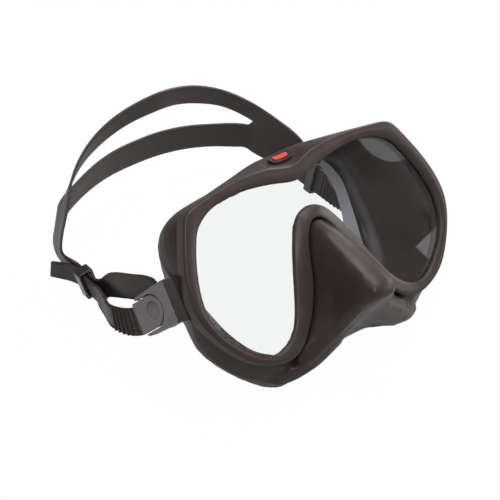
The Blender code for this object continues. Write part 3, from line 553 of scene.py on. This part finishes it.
@dataclass
class Skirt:
    """Silicone skirt with its nose pocket, smoothed as one moulding.

    Places are across, behind the lens and up the lens. The wide roll carries the nose pocket's
    underside into the cheek, and the narrow one is the ridge from the nostril's edge down to the
    cheek. The crease is the fold in front of the face seal. Each place on the lip's edge also has the
    lip's reach inward. The lip's section is its root and its tip, as offsets aside and behind, and the
    tip lies further behind by the slope for each millimetre of reach. The matt share is set by depth
    behind the crease on the skirt, and by height on the lip: it makes the seal rougher and paints it
    paler as painted sheen, and the lip is painted darker toward the cheek as shade.
    """

    bench: Bench
    voxel_mm: float = 0.95
    smoothing: int = 6
    ball_spacing: float = 0.6
    rolls: tuple = (
        Roll(4.0, ((44.0, 17.0, -53.0), (40.0, 14.5, -53.6), (36.0, 11.5, -53.3), (31.5, 8.5, -52.4),
                   (26.0, 6.5, -51.2), (19.0, 5.0, -49.0), (12.0, 4.5, -46.8))),
        Roll(2.0, ((10.1, -24.4, -33.4), (12.7, -15.0, -38.0), (16.7, -8.7, -41.5), (21.9, -4.0, -44.7),
                   (28.6, 1.3, -48.6), (34.7, 6.8, -51.3), (39.4, 10.4, -51.8), (43.6, 13.6, -51.3))))
    crease: tuple = ((0.0, 42.6, 38.2), (22.5, 45.8, 37.9), (50.0, 52.0, 33.8), (57.9, 53.7, 23.0),
                     (59.7, 54.6, 0.7), (57.6, 53.1, -15.2), (49.3, 47.4, -34.2), (38.9, 43.7, -45.6))
    crease_samples: int = 24
    crease_width_mm: float = 2.6
    crease_depth_mm: float = 1.8
    lip_edge: tuple = ((0.0, 44.5, 36.4, 0.0), (21.5, 48.1, 36.2, 0.0), (47.6, 55.0, 31.8, 0.6),
                       (54.2, 56.9, 20.6, 2.4), (54.4, 57.7, 0.0, 3.4), (52.0, 56.2, -13.5, 5.4),
                       (46.5, 49.9, -32.5, 5.2), (37.5, 45.8, -44.4, 3.8), (30.0, 42.0, -47.5, 1.5))
    lip_samples: int = 8
    lip_sharp_angle: float = 40.0
    lip_root: tuple = ((1.2, -1.5), (3.2, -1.7), (2.0, -4.2))
    lip_tip: tuple = ((0.0, -2.6), (-0.2, -2.4), (0.0, -2.2))
    lip_slope: float = 0.43
    # Matt share by height on the lip: painted sheen at the brow, fading to painted shade toward the cheek.
    lip_matt_and_painted_light_heights_mm: tuple[float, float] = (-30.0, -8.0)
    lip_matt_and_painted_light_shares: tuple[float, float] = (0.12, 1.0)
    # Matt share by depth behind the crease: rougher, and painted paler as sheen on the seal's bands.
    matt_and_painted_sheen_depths_mm: tuple = (-6.0, -3.6, -2.0, -1.0, 0.3, 0.9)
    matt_and_painted_sheen_shares: tuple = (0.0, 0.22, 0.22, 0.0, 0.0, 1.0)

    def build(self) -> None:
        """Make and hang the skirt."""
        copy = self.bench.merged_copy("skirt")
        for roll in self.rolls:
            for sign in SIDES.values():
                self.add_roll(copy, roll, sign)
        mesh = bpy.data.meshes.new("silicone_skirt")
        copy.to_mesh(mesh)
        copy.free()
        skirt = self.bench.object_from("silicone_skirt", mesh)
        remesh = skirt.modifiers.new("one_moulding", "REMESH")
        remesh.mode = "VOXEL"
        remesh.voxel_size = self.voxel_mm * MM
        remesh.use_smooth_shade = True
        smooth = skirt.modifiers.new("polish", "SMOOTH")
        smooth.factor = 0.5
        smooth.iterations = self.smoothing
        self.bench.plain(skirt)
        self.fold_seal(skirt.data)
        self.bench.hang(skirt, "black_silicone", "mask", ["skirt"])
        self.make_lip()

    def make_lip(self) -> None:
        """Make the thin matt blade along the seal's free edge, from cheek over the brow to cheek, painted
        paler as sheen and darker toward the cheek as shade.
        """
        half = smooth_path([Vector(place) for place in self.lip_edge], self.lip_samples)
        rings = []
        matt_and_painted_sheen = []
        for sign, places in ((-1, half[::-1]), (1, half[1:])):
            for across, behind, up, reach in places:
                outward = Vector((across, 0.0, up)).normalized()
                fall = self.lip_slope * reach
                offsets = list(self.lip_root)
                offsets += [(aside - reach, depth + fall) for aside, depth in self.lip_tip]
                spots = [Vector((across, behind + depth, up)) + outward * aside for aside, depth in offsets]
                ring = [from_lens(tuple(spot), sign) for spot in spots]
                rings.append([Vector((spot.x, spot.y, max(spot.z, 0.0))) for spot in ring])
                # Painted sheen share by height: paler at the brow, painted darker toward the cheek as
                # shade.
                matt_and_painted_sheen += [np.interp(up, self.lip_matt_and_painted_light_heights_mm, self.lip_matt_and_painted_light_shares)] * len(spots)
        mesh = lofted("seal_lip", rings)
        mesh.set_sharp_from_angle(angle=math.radians(self.lip_sharp_angle))
        mesh.attributes.new("matt_and_painted_sheen", "FLOAT", "POINT").data.foreach_set("value", matt_and_painted_sheen)
        self.bench.hang(self.bench.object_from("seal_lip", mesh), "black_silicone", "mask")

    def fold_seal(self, mesh: bpy.types.Mesh) -> None:
        """Push in the fold that lets the face seal flex, and mark the seal behind it matt and painted paler
        as sheen.

        The soft seal is pressed flat where it lies on the table.

        Args:
            mesh: the skirt's finished mesh.
        """
        behind_axis = Vector((0.0, math.cos(LENS_LEAN), -math.sin(LENS_LEAN)))
        spots = []
        for sign in SIDES.values():
            spots += smooth_path([from_lens(place, sign) for place in self.crease], self.crease_samples)
        tree = KDTree(len(spots))
        for index, spot in enumerate(spots):
            tree.insert(spot, index)
        tree.balance()
        depths = []
        moved = []
        for vertex in mesh.vertices:
            place = vertex.co / MM
            near, _, distance = tree.find(place)
            depths.append((place - near).dot(behind_axis))
            share = max(1 - (distance / self.crease_width_mm) ** 2, 0.0) ** 2
            moved.append(vertex.co + behind_axis * share * self.crease_depth_mm * MM)
        places = np.array(moved, dtype=np.float32)
        places[:, 2] = np.maximum(places[:, 2], 0.0)
        mesh.vertices.foreach_set("co", places.ravel())
        # Matt share by depth: rougher, and painted paler as sheen.
        kept = mesh.attributes.new("matt_and_painted_sheen", "FLOAT", "POINT")
        kept.data.foreach_set("value", np.interp(depths, self.matt_and_painted_sheen_depths_mm, self.matt_and_painted_sheen_shares))
        mesh.update()

    def add_roll(self, copy: bmesh.types.BMesh, roll: Roll, sign: int) -> None:
        """Add a roll as a close row of balls, which the voxels make one.

        Args:
            copy: the skirt's mesh, still open to change.
            roll: the roll.
            sign: one for the left side, minus one for the right.
        """
        places = [from_lens(place, sign) for place in roll.line]
        longest = max((after - before).length for before, after in zip(places, places[1:]))
        for spot in smooth_path(places, math.ceil(longest / (roll.radius_mm * self.ball_spacing))):
            bmesh.ops.create_icosphere(copy, subdivisions=2, radius=roll.radius_mm * MM,
                                       matrix=Matrix.Translation(spot * MM))


@dataclass(frozen=True)
class BuckleFrame:
    """Axes of one buckle, from the middle of its roller, in millimetres."""

    side: str
    centre: tuple[float, float, float] = (78.01, -36.96, 47.25)
    along: tuple[float, float, float] = (0.2913, 0.63445, -0.71597)
    across: tuple[float, float, float] = (-0.12354, 0.76711, 0.6295)
    outward: tuple[float, float, float] = (0.94862, -0.09492, 0.30185)

    def turned(self, direction: tuple[float, float, float]) -> Vector:
        """Give a left-hand direction or place to this side, mirrored on the right."""
        return Vector((direction[0] * SIDES[self.side], direction[1], direction[2]))

    def point(self, along: float, across: float, height: float) -> Vector:
        """Return the place along toward the tail, across to the upper edge and off the head."""
        return (self.turned(self.centre) + self.turned(self.along) * along
                + self.turned(self.across) * across + self.turned(self.outward) * height)

    def measured(self, place: Vector) -> tuple[float, float, float]:
        """Return a place's distances along, across and outward in the buckle."""
        rest = place - self.turned(self.centre)
        return (rest.dot(self.turned(self.along)), rest.dot(self.turned(self.across)),
                rest.dot(self.turned(self.outward)))


def rounded_ring(corners: list[Vector], radius: float, steps: int) -> list[Vector]:
    """Round the corners of a closed outline.

    Args:
        corners: the outline's corners in order.
        radius: how far from a corner its rounding starts.
        steps: points in each rounding, less one.

    Returns:
        The points of the rounded outline.
    """
    made = []
    for index, corner in enumerate(corners):
        before = corner + (corners[index - 1] - corner).normalized() * radius
        after = corner + (corners[(index + 1) % len(corners)] - corner).normalized() * radius
        for step in range(steps + 1):
            share = step / steps
            made.append(before.lerp(corner, share).lerp(corner.lerp(after, share), share))
    return made


def lofted(name: str, rings: list[list[Vector]]) -> bpy.types.Mesh:
    """Close a row of rings into a solid.

    Args:
        name: mesh name.
        rings: rings of equally many points, in millimetres.

    Returns:
        The mesh, smooth along its sides.
    """
    builder = bmesh.new()
    made = [[builder.verts.new(point * MM) for point in ring] for ring in rings]
    for near, far in zip(made, made[1:]):
        for index in range(len(near)):
            builder.faces.new((near[index - 1], near[index], far[index], far[index - 1]))
    builder.faces.new(made[0][::-1])
    builder.faces.new(made[-1])
    bmesh.ops.recalc_face_normals(builder, faces=builder.faces[:])
    for face in builder.faces:
        face.smooth = len(face.verts) == 4
    mesh = bpy.data.meshes.new(name)
    builder.to_mesh(mesh)
    builder.free()
    return mesh


@dataclass
class Buckle:
    """One temple buckle: soft lug, fork, release lever, pins and roller."""

    bench: Bench
    side: str
    fork_edge_mm: float = 0.55
    lever_edge_mm: float = 0.3
    lever_shrink: float = 0.965
    lever_middle_mm: float = 6.65
    recess_along_mm: float = 3.6
    recess_radius_mm: float = 5.2
    recess_heights_mm: tuple[float, float] = (5.9, 6.62)
    recess_tilt_mm: float = 1.3
    lug_rounding_mm: float = 1.0
    lug_corner_steps: int = 4
    lug_steps: int = 10
    lug_root: tuple = ((79.9, -44.4, 70.65), (79.9, -58.25, 52.92),
                       (77.2, -58.25, 52.92), (77.2, -44.4, 70.65))
    lug_end_along_mm: float = -10.6
    lug_end_half_mm: float = 11.2
    lug_end_heights_mm: tuple[float, float] = (6.9, 2.5)

    def build(self) -> None:
        """Make and hang the buckle's pieces."""
        fork = self.bench.refined(f"buckle_frame_{self.side}", f"buckle_fork_{self.side}",
                                  Surfacing.CUT, self.fork_edge_mm, 3)
        self.bench.hang(fork, "grey_acetal", "harness", [f"buckle_frame_{self.side}"])
        lever = self.bench.refined(f"release_lever_{self.side}", f"thumb_lever_{self.side}",
                                   Surfacing.CUT, self.lever_edge_mm, 3)
        self.shape_lever(lever.data)
        self.bench.hang(lever, "grey_acetal", f"release_lever_{self.side}", [f"release_lever_{self.side}"])
        self.make_lug()
        for node in (f"lug_pin_{self.side}", f"lever_pin_{self.side}", f"strap_roller_{self.side}"):
            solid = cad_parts[node]
            solid.data.materials.clear()
            solid.data.materials.append(self.bench.wardrobe.get("stainless_steel"))

    def shape_lever(self, mesh: bpy.types.Mesh) -> None:
        """Open the groove round the lever and slope its thumb recess down toward the front.

        Args:
            mesh: the lever's finished mesh.
        """
        axes = BuckleFrame(self.side)
        low, high = self.recess_heights_mm
        for vertex in mesh.vertices:
            along, across, height = axes.measured(vertex.co / MM)
            reach = math.hypot(along - self.recess_along_mm, across)
            if reach < self.recess_radius_mm and low < height < high:
                front = (self.recess_along_mm + self.recess_radius_mm - along) / (2 * self.recess_radius_mm)
                height -= self.recess_tilt_mm * front
            along = self.lever_middle_mm + (along - self.lever_middle_mm) * self.lever_shrink
            vertex.co = axes.point(along, across * self.lever_shrink, height) * MM
        mesh.update()

    def make_lug(self) -> None:
        """Make the soft tab between bezel and fork, which bends as the strap swings."""
        axes = BuckleFrame(self.side)
        root = [axes.turned(corner) for corner in self.lug_root]
        top, low = self.lug_end_heights_mm
        half = self.lug_end_half_mm
        spots = ((half, top), (-half, top), (-half, low), (half, low))
        end = [axes.point(self.lug_end_along_mm, across, height) for across, height in spots]
        rings = []
        for step in range(self.lug_steps + 1):
            share = step / self.lug_steps
            corners = [start.lerp(stop, share) for start, stop in zip(root, end)]
            rings.append(rounded_ring(corners, self.lug_rounding_mm, self.lug_corner_steps))
        lug = self.bench.object_from(f"soft_lug_{self.side}", lofted(f"soft_lug_{self.side}", rings))
        self.bench.hang(lug, "black_silicone", None, [f"buckle_lug_{self.side}"])
        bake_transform(lug)


@dataclass(frozen=True)
class StrapStep:
    """One place along the strap: its middle, and the directions across it and out of its ribbed face."""

    middle: Vector
    across: Vector
    outward: Vector


def smooth_path(points: list[Vector], samples: int) -> list[Vector]:
    """Return points on the smooth open curve through the given ones.

    Args:
        points: places on the curve.
        samples: new points for each of the curve's pieces.

    Returns:
        The points, first and last included.
    """
    lengths = [(after - before).length for before, after in zip(points, points[1:])]
    slopes = [(after - before) / length for before, after, length in zip(points, points[1:], lengths)]
    tangents = [slopes[0]]
    for before, after, near, far in zip(slopes, slopes[1:], lengths, lengths[1:]):
        tangents.append((before * far + after * near) / (near + far))
    tangents.append(slopes[-1])
    made = []
    for index, length in enumerate(lengths):
        for step in range(samples):
            share = step / samples
            square, cube = share ** 2, share ** 3
            made.append(points[index] * (2 * cube - 3 * square + 1)
                        + points[index + 1] * (3 * square - 2 * cube)
                        + tangents[index] * length * (cube - 2 * square + share)
                        + tangents[index + 1] * length * (cube - square))
    return made + [points[-1]]


@dataclass
class StrapRun:
    """One end of the strap: from its keeper to the buckle, round the roller and back past the keeper.

    The edges are given as across, distance behind the lens centre and height over the table.
    """

    side: str
    layer_mm: float = 3.0
    keeper_mm: tuple[float, float, float] = (75.8, 38.8, 13.2)
    keeper_tilt: float = 15.0
    inner_passes_mm: tuple = (7.0, -7.0, -9.0)
    tail_passes_mm: tuple = (-9.0, -7.0, 7.0, 9.0)
    wrap_radius_mm: float = 2.7
    wrap_steps: int = 12
    lever_rear_mm: float = 16.9
    past_lever_mm: tuple[float, float] = (5.0, 0.4)
    samples: int = 9
    inner_edges: dict = field(default_factory=lambda: {
        "left": [((75.2, 81.5, 16.8), (77.2, 80.0, 2.8)), ((74.8, 60.5, 21.5), (79.0, 61.5, 7.5)),
                 ((73.6, 46.0, 36.0), (79.0, 46.0, 23.0))],
        "right": [((75.2, 81.5, 29.5), (77.4, 80.0, 15.5)), ((74.5, 60.5, 42.0), (79.8, 61.5, 28.0)),
                  ((73.6, 46.0, 49.0), (79.0, 46.0, 36.0))],
    })
    tail_edges: tuple = (
        ((91.6, 54.6, 34.0), (91.2, 52.5, 20.0)), ((86.5, 68.4, 28.0), (85.4, 69.4, 13.2)),
        ((81.0, 84.0, 22.0), (79.8, 84.0, 7.4)))
    tail_end: tuple = ((87.0, 119.3, 18.8), (85.2, 124.6, 5.0))

    def __post_init__(self) -> None:
        """Set up the buckle's axes."""
        self.axes = BuckleFrame(self.side)

    def placed(self, edges: tuple) -> tuple[Vector, Vector]:
        """Return a row's upper and lower edge in the world."""
        shift = Vector((0.0, LENS_CENTRE_MM[1], 0.0))
        return self.axes.turned(edges[0]) + shift, self.axes.turned(edges[1]) + shift

    def in_keeper(self, along: float, lift: float) -> tuple[Vector, Vector]:
        """Return a row inside the keeper.

        Args:
            along: distance behind the keeper's middle.
            lift: distance outward from the inner layer.

        Returns:
            The upper and the lower edge.
        """
        tilt = math.radians(self.keeper_tilt)
        across = self.axes.turned((math.sin(tilt), 0.0, math.cos(tilt))) * STRAP_HALF_WIDTH_MM
        outward = self.axes.turned((math.cos(tilt), 0.0, -math.sin(tilt))) * lift
        middle = self.axes.turned(self.keeper_mm) + Vector((0.0, along, 0.0)) + outward
        return middle + across, middle - across

    def in_buckle(self, along: float, height: float) -> tuple[Vector, Vector]:
        """Return a row's upper and lower edge in the buckle, along from the roller and off the head."""
        half = STRAP_HALF_WIDTH_MM
        return self.axes.point(along, half, height), self.axes.point(along, -half, height)

    def steps_of(self, rows: list[tuple[Vector, Vector]]) -> list[StrapStep]:
        """Give rows of edges their directions.

        Args:
            rows: upper and lower edges in order along the strap.

        Returns:
            The places along the strap.
        """
        middles = [(upper + lower) / 2 for upper, lower in rows]
        made = []
        for index, (upper, lower) in enumerate(rows):
            ahead = middles[min(index + 1, len(rows) - 1)]
            behind = middles[max(index - 1, 0)]
            across = (upper - lower).normalized()
            outward = (ahead - behind).cross(across).normalized() * SIDES[self.side]
            made.append(StrapStep(middles[index], across, outward))
        return made

    def smooth_rows(self, rows: list[tuple[Vector, Vector]]) -> list[tuple[Vector, Vector]]:
        """Put more rows between the given ones.

        Args:
            rows: upper and lower edges.

        Returns:
            Rows on smooth curves along both edges.
        """
        upper = smooth_path([row[0] for row in rows], self.samples)
        lower = smooth_path([row[1] for row in rows], self.samples)
        return list(zip(upper, lower))

    def inner(self) -> list[StrapStep]:
        """Return the layer from the keeper to the buckle and half round the roller.

        Returns:
            The places along it.
        """
        radius = self.wrap_radius_mm
        rows = [self.in_keeper(along, 0.0) for along in self.inner_passes_mm]
        rows += [self.placed(edges) for edges in self.inner_edges[self.side]]
        rows += [self.in_buckle(radius, -radius)]
        made = self.smooth_rows(rows)
        for step in range(self.wrap_steps + 1):
            angle = -math.pi / 2 - math.pi * step / self.wrap_steps
            made.append(self.in_buckle(radius * math.cos(angle), radius * math.sin(angle)))
        return self.steps_of(made)

    def tail(self) -> list[StrapStep]:
        """Return the layer from under the lever to the strap's end.

        Returns:
            The places along it.
        """
        rear, lift = self.lever_rear_mm, self.wrap_radius_mm
        onward, rise = self.past_lever_mm
        rows = [self.in_buckle(rear / 2, lift), self.in_buckle(rear, lift)]
        rows += [self.in_buckle(rear + onward, lift + rise)]
        rows += [self.placed(edges) for edges in self.tail_edges]
        rows += [self.in_keeper(along, self.layer_mm) for along in self.tail_passes_mm]
        rows += [self.placed(self.tail_end)]
        return self.steps_of(self.smooth_rows(rows))


@dataclass
class HeadStrap:
    """Moulded strap: two bands at the back that meet, pass a keeper and a buckle, and end in a tail."""

    bench: Bench
    edge_mm: float = 0.35
    keeper_edge_mm: float = 0.5
    thickness_mm: float = 1.6
    rib_pitch_mm: float = 2.5
    rib_radius_mm: float = 0.72
    rib_sink_mm: float = 0.12
    rib_end_mm: float = 0.6
    ribbed_tail_mm: float = 21.0
    rail_radius_mm: float = 0.4
    rail_inset_mm: float = 1.0
    rail_end_steps: int = 2
    lever_gap_mm: float = 0.8
    keeper_reach_mm: float = 9.0

    def build(self) -> None:
        """Make and hang the strap and its keepers."""
        strap = self.bench.refined("head_strap", "strap_band", Surfacing.SWEPT, self.edge_mm, 2, 40.0)
        self.bench.hang(strap, "black_silicone", "harness", ["head_strap"])
        ribbed, railed = [], []
        for side in SIDES:
            keeper = self.bench.refined(f"strap_keeper_{side}", f"keeper_loop_{side}",
                                        Surfacing.CUT, self.keeper_edge_mm, 3)
            self.bench.hang(keeper, "gloss_acetal", f"strap_keeper_{side}", [f"strap_keeper_{side}"])
            run = StrapRun(side)
            under_lever = run.wrap_steps // 2
            inner = [step for step in run.inner()[:-under_lever]
                     if step.middle.y < run.keeper_mm[1] - self.keeper_reach_mm]
            tail = run.tail()
            lever_edge = run.in_buckle(run.lever_rear_mm + self.lever_gap_mm, run.wrap_radius_mm)
            start = (lever_edge[0] + lever_edge[1]) / 2
            onward = run.axes.turned(run.axes.along)
            free = [step for step in tail if (step.middle - start).dot(onward) > 0]
            near = [step for step in free if (step.middle - start).length < self.ribbed_tail_mm]
            ribbed += [inner, near]
            railed += [free[len(near):-self.rail_end_steps]]
        self.make_ribs(ribbed)
        self.make_rails(railed)

    def path_mesh(self, name: str, runs: list[list[StrapStep]], aside_mm: float,
                  lift_mm: float) -> bpy.types.Mesh:
        """Make open paths that know their directions.

        Args:
            name: mesh name.
            runs: the places along each path.
            aside_mm: how far the path lies from the strap's middle.
            lift_mm: how far the path lies from the strap's middle layer.

        Returns:
            The mesh of the paths.
        """
        points, edges, across, outward = [], [], [], []
        for run in runs:
            for index, step in enumerate(run):
                if index:
                    edges.append((len(points) - 1, len(points)))
                points.append((step.middle + step.across * aside_mm + step.outward * lift_mm) * MM)
                across.append(step.across)
                outward.append(step.outward)
        mesh = bpy.data.meshes.new(name)
        mesh.from_pydata(points, edges, [])
        for label, values in (("across", across), ("outward", outward)):
            kept = mesh.attributes.new(label, "FLOAT_VECTOR", "POINT")
            kept.data.foreach_set("vector", np.array(values, dtype=float).ravel())
        span = 2 * (STRAP_HALF_WIDTH_MM - self.rib_end_mm) * MM
        mesh.attributes.new("span", "FLOAT", "POINT").data.foreach_set("value", [span] * len(points))
        return mesh

    def make_ribs(self, runs: list[list[StrapStep]]) -> None:
        """Set the ribs that the buckles grip.

        Args:
            runs: the ribbed stretches.
        """
        paths = self.path_mesh("rib_paths", runs, 0.0, self.thickness_mm / 2 - self.rib_sink_mm)
        ribs = self.bench.grown("strap_ribs", paths, rib_tree(), {
            "Pitch": self.rib_pitch_mm * MM, "Radius": self.rib_radius_mm * MM,
            "Material": self.bench.wardrobe.get("black_silicone")})
        self.bench.hang(ribs, "black_silicone", "harness")

    def make_rails(self, runs: list[list[StrapStep]]) -> None:
        """Set the raised edges of the smooth tail.

        Args:
            runs: the smooth stretches.
        """
        aside = STRAP_HALF_WIDTH_MM - self.rail_inset_mm
        lift = self.thickness_mm / 2 - self.rail_radius_mm / 2
        for label, offset in (("upper", aside), ("lower", -aside)):
            paths = self.path_mesh(f"{label}_rail_paths", runs, offset, lift)
            rails = self.bench.grown(f"{label}_tail_rails", paths, rail_tree(), {
                "Radius": self.rail_radius_mm * MM, "Material": self.bench.wardrobe.get("black_silicone")})
            self.bench.hang(rails, "black_silicone", "harness")


@dataclass(frozen=True)
class Lamp:
    """One soft lamp: where it stands, what it faces, its face in metres and its watts."""

    name: str
    place: tuple[float, float, float]
    target: tuple[float, float, float]
    size: tuple[float, float]
    power: float
    in_gloss: bool = True
    oval: bool = False


@dataclass
class Studio:
    """Plain pale floor, soft light and the camera at the photograph's angle."""

    camera_from_lens_mm: tuple[float, float, float] = (-434.88, -502.51, 518.98)
    azimuth: float = -37.751
    elevation: float = 38.274
    lens_mm: float = 122.4
    sensor_mm: float = 36.0
    clip: tuple[float, float] = (0.01, 20.0)
    floor_half_size: float = 3.0
    floor_white: str = "#a8a8a8"
    camera_share: float = 0.985
    gloss_share: float = 0.3
    sky: float = 0.16
    sky_in_gloss: float = 0.12
    lamps: tuple = (
        Lamp("overhead_softbox", (0.05, 0.1, 0.95), (0.0, -0.02, 0.05), (0.6, 0.6), 5.0),
        Lamp("left_softbox", (-0.5, -0.36, 0.8), (0.0, -0.08, 0.05), (0.3, 0.3), 2.5),
        Lamp("back_right_strip", (0.7, 0.5, 0.6), (0.0, -0.02, 0.05), (0.3, 0.6), 3.0),
        Lamp("right_strip", (0.87, -0.72, 0.44), (0.06, -0.06, 0.05), (0.2, 0.5), 2.2),
        Lamp("right_softbox", (0.95, -0.1, 0.4), (0.03, -0.06, 0.05), (0.4, 0.4), 3.0),
        Lamp("front_right_fill", (0.75, -0.85, 0.55), (0.0, -0.04, 0.05), (0.6, 0.6), 4.0, in_gloss=False),
        Lamp("front_top_fill", (0.2, -0.75, 0.85), (0.03, -0.03, 0.05), (0.5, 0.5), 2.0, in_gloss=False),
        Lamp("upper_window", (0.572, -0.663, 0.498), (0.055, -0.041, 0.085), (0.046, 0.07), 0.0075,
             oval=True),
        Lamp("lower_window", (0.587, -0.727, 0.389), (0.06, -0.074, 0.042), (0.058, 0.03), 0.007))

    def build(self) -> None:
        """Make the floor, light and camera."""
        self.make_camera()
        self.make_floor()
        self.make_world()
        for lamp in self.lamps:
            self.make_lamp(lamp)
        bpy.context.scene.view_settings.view_transform = "Standard"

    def make_camera(self) -> None:
        """Put the camera where the photograph was taken from."""
        data = bpy.data.cameras.new("photo_camera")
        camera = bpy.data.objects.new("photo_camera", data)
        bpy.context.scene.collection.objects.link(camera)
        data.lens = self.lens_mm
        data.sensor_width = self.sensor_mm
        data.clip_start, data.clip_end = self.clip
        turn = math.radians(self.azimuth)
        rise = math.radians(self.elevation)
        back = Vector((math.sin(turn) * math.cos(rise), -math.cos(turn) * math.cos(rise), math.sin(rise)))
        camera.location = (Vector(LENS_CENTRE_MM) + Vector(self.camera_from_lens_mm)) * MM
        camera.rotation_mode = "QUATERNION"
        camera.rotation_quaternion = (-back).to_track_quat("-Z", "Y")
        bpy.context.scene.camera = camera

    def floor_share(self, tree: bpy.types.NodeTree) -> bpy.types.NodeSocket:
        """Tell how much of the floor is plain white to each kind of ray.

        Args:
            tree: the floor's node tree.

        Returns:
            Output with the share for rays from the eye, through glass, off gloss and for other light.
        """
        path = add_node(tree, "ShaderNodeLightPath")
        seen = add_node(tree, "ShaderNodeMath", {
            0: path.outputs["Is Camera Ray"], 1: path.outputs["Is Transmission Ray"]}, operation="MAXIMUM")
        direct = add_node(tree, "ShaderNodeMath", {
            0: seen.outputs[0], 1: self.camera_share}, operation="MULTIPLY")
        glossy = add_node(tree, "ShaderNodeMath", {
            0: path.outputs["Is Glossy Ray"], 1: self.gloss_share}, operation="MULTIPLY")
        both = add_node(tree, "ShaderNodeMath", {
            0: direct.outputs[0], 1: glossy.outputs[0]}, operation="MAXIMUM")
        return both.outputs[0]

    def make_floor(self) -> None:
        """Make the pale floor, which is white to the eye and keeps a soft shadow."""
        half = self.floor_half_size
        mesh = bpy.data.meshes.new("studio_floor")
        corners = [(-half, -half, 0), (half, -half, 0), (half, half, 0), (-half, half, 0)]
        mesh.from_pydata(corners, [], [(0, 1, 2, 3)])
        floor = bpy.data.objects.new("studio_floor", mesh)
        bpy.context.scene.collection.objects.link(floor)
        material, tree = new_material("white_paper_floor")
        paper = add_node(tree, "ShaderNodeBsdfDiffuse", {"Color": linear(self.floor_white)})
        glow = add_node(tree, "ShaderNodeEmission", {"Color": (1, 1, 1, 1), "Strength": 1.0})
        mixed = add_node(tree, "ShaderNodeMixShader", {
            "Fac": self.floor_share(tree), 1: paper.outputs["BSDF"], 2: glow.outputs["Emission"]})
        add_node(tree, "ShaderNodeOutputMaterial", {"Surface": mixed.outputs["Shader"]})
        mesh.materials.append(material)

    def make_world(self) -> None:
        """Make an even pale surround, white where it is seen directly."""
        world = bpy.data.worlds.new("studio")
        bpy.context.scene.world = world
        world.use_nodes = True
        tree = world.node_tree
        tree.nodes.clear()
        path = add_node(tree, "ShaderNodeLightPath")
        straight = add_node(tree, "ShaderNodeMath", {
            0: path.outputs["Glossy Depth"], 1: 0.5}, operation="LESS_THAN")
        through = add_node(tree, "ShaderNodeMath", {
            0: path.outputs["Is Transmission Ray"], 1: straight.outputs[0]}, operation="MULTIPLY")
        seen = add_node(tree, "ShaderNodeMath", {
            0: path.outputs["Is Camera Ray"], 1: through.outputs[0]}, operation="MAXIMUM")
        other = add_node(tree, "ShaderNodeMapRange", {
            "Value": path.outputs["Is Glossy Ray"], "To Min": self.sky, "To Max": self.sky_in_gloss})
        strength = add_node(tree, "ShaderNodeMapRange", {
            "Value": seen.outputs[0], "To Min": other.outputs["Result"], "To Max": 1.0})
        light = add_node(tree, "ShaderNodeBackground", {
            "Color": (1, 1, 1, 1), "Strength": strength.outputs["Result"]})
        add_node(tree, "ShaderNodeOutputWorld", {"Surface": light.outputs["Background"]})

    def make_lamp(self, lamp: Lamp) -> None:
        """Add one soft lamp.

        Args:
            lamp: its place, size and power.
        """
        data = bpy.data.lights.new(lamp.name, "AREA")
        data.shape = "ELLIPSE" if lamp.oval else "RECTANGLE"
        data.size, data.size_y = lamp.size
        data.energy = lamp.power
        made = bpy.data.objects.new(lamp.name, data)
        bpy.context.scene.collection.objects.link(made)
        made.location = lamp.place
        made.rotation_mode = "QUATERNION"
        made.rotation_quaternion = (Vector(lamp.target) - Vector(lamp.place)).to_track_quat("-Z", "Y")
        made.visible_glossy = lamp.in_gloss
        made.visible_transmission = lamp.in_gloss


def main() -> None:
    """Build the studio and every piece in order."""
    logging.basicConfig(level=logging.INFO, format="%(message)s")
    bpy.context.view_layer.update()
    Studio().build()
    bench = Bench(Wardrobe())
    Front(bench).build()
    Skirt(bench).build()
    for side in SIDES:
        Buckle(bench, side).build()
    HeadStrap(bench).build()


if __name__ == "__main__":
    main()
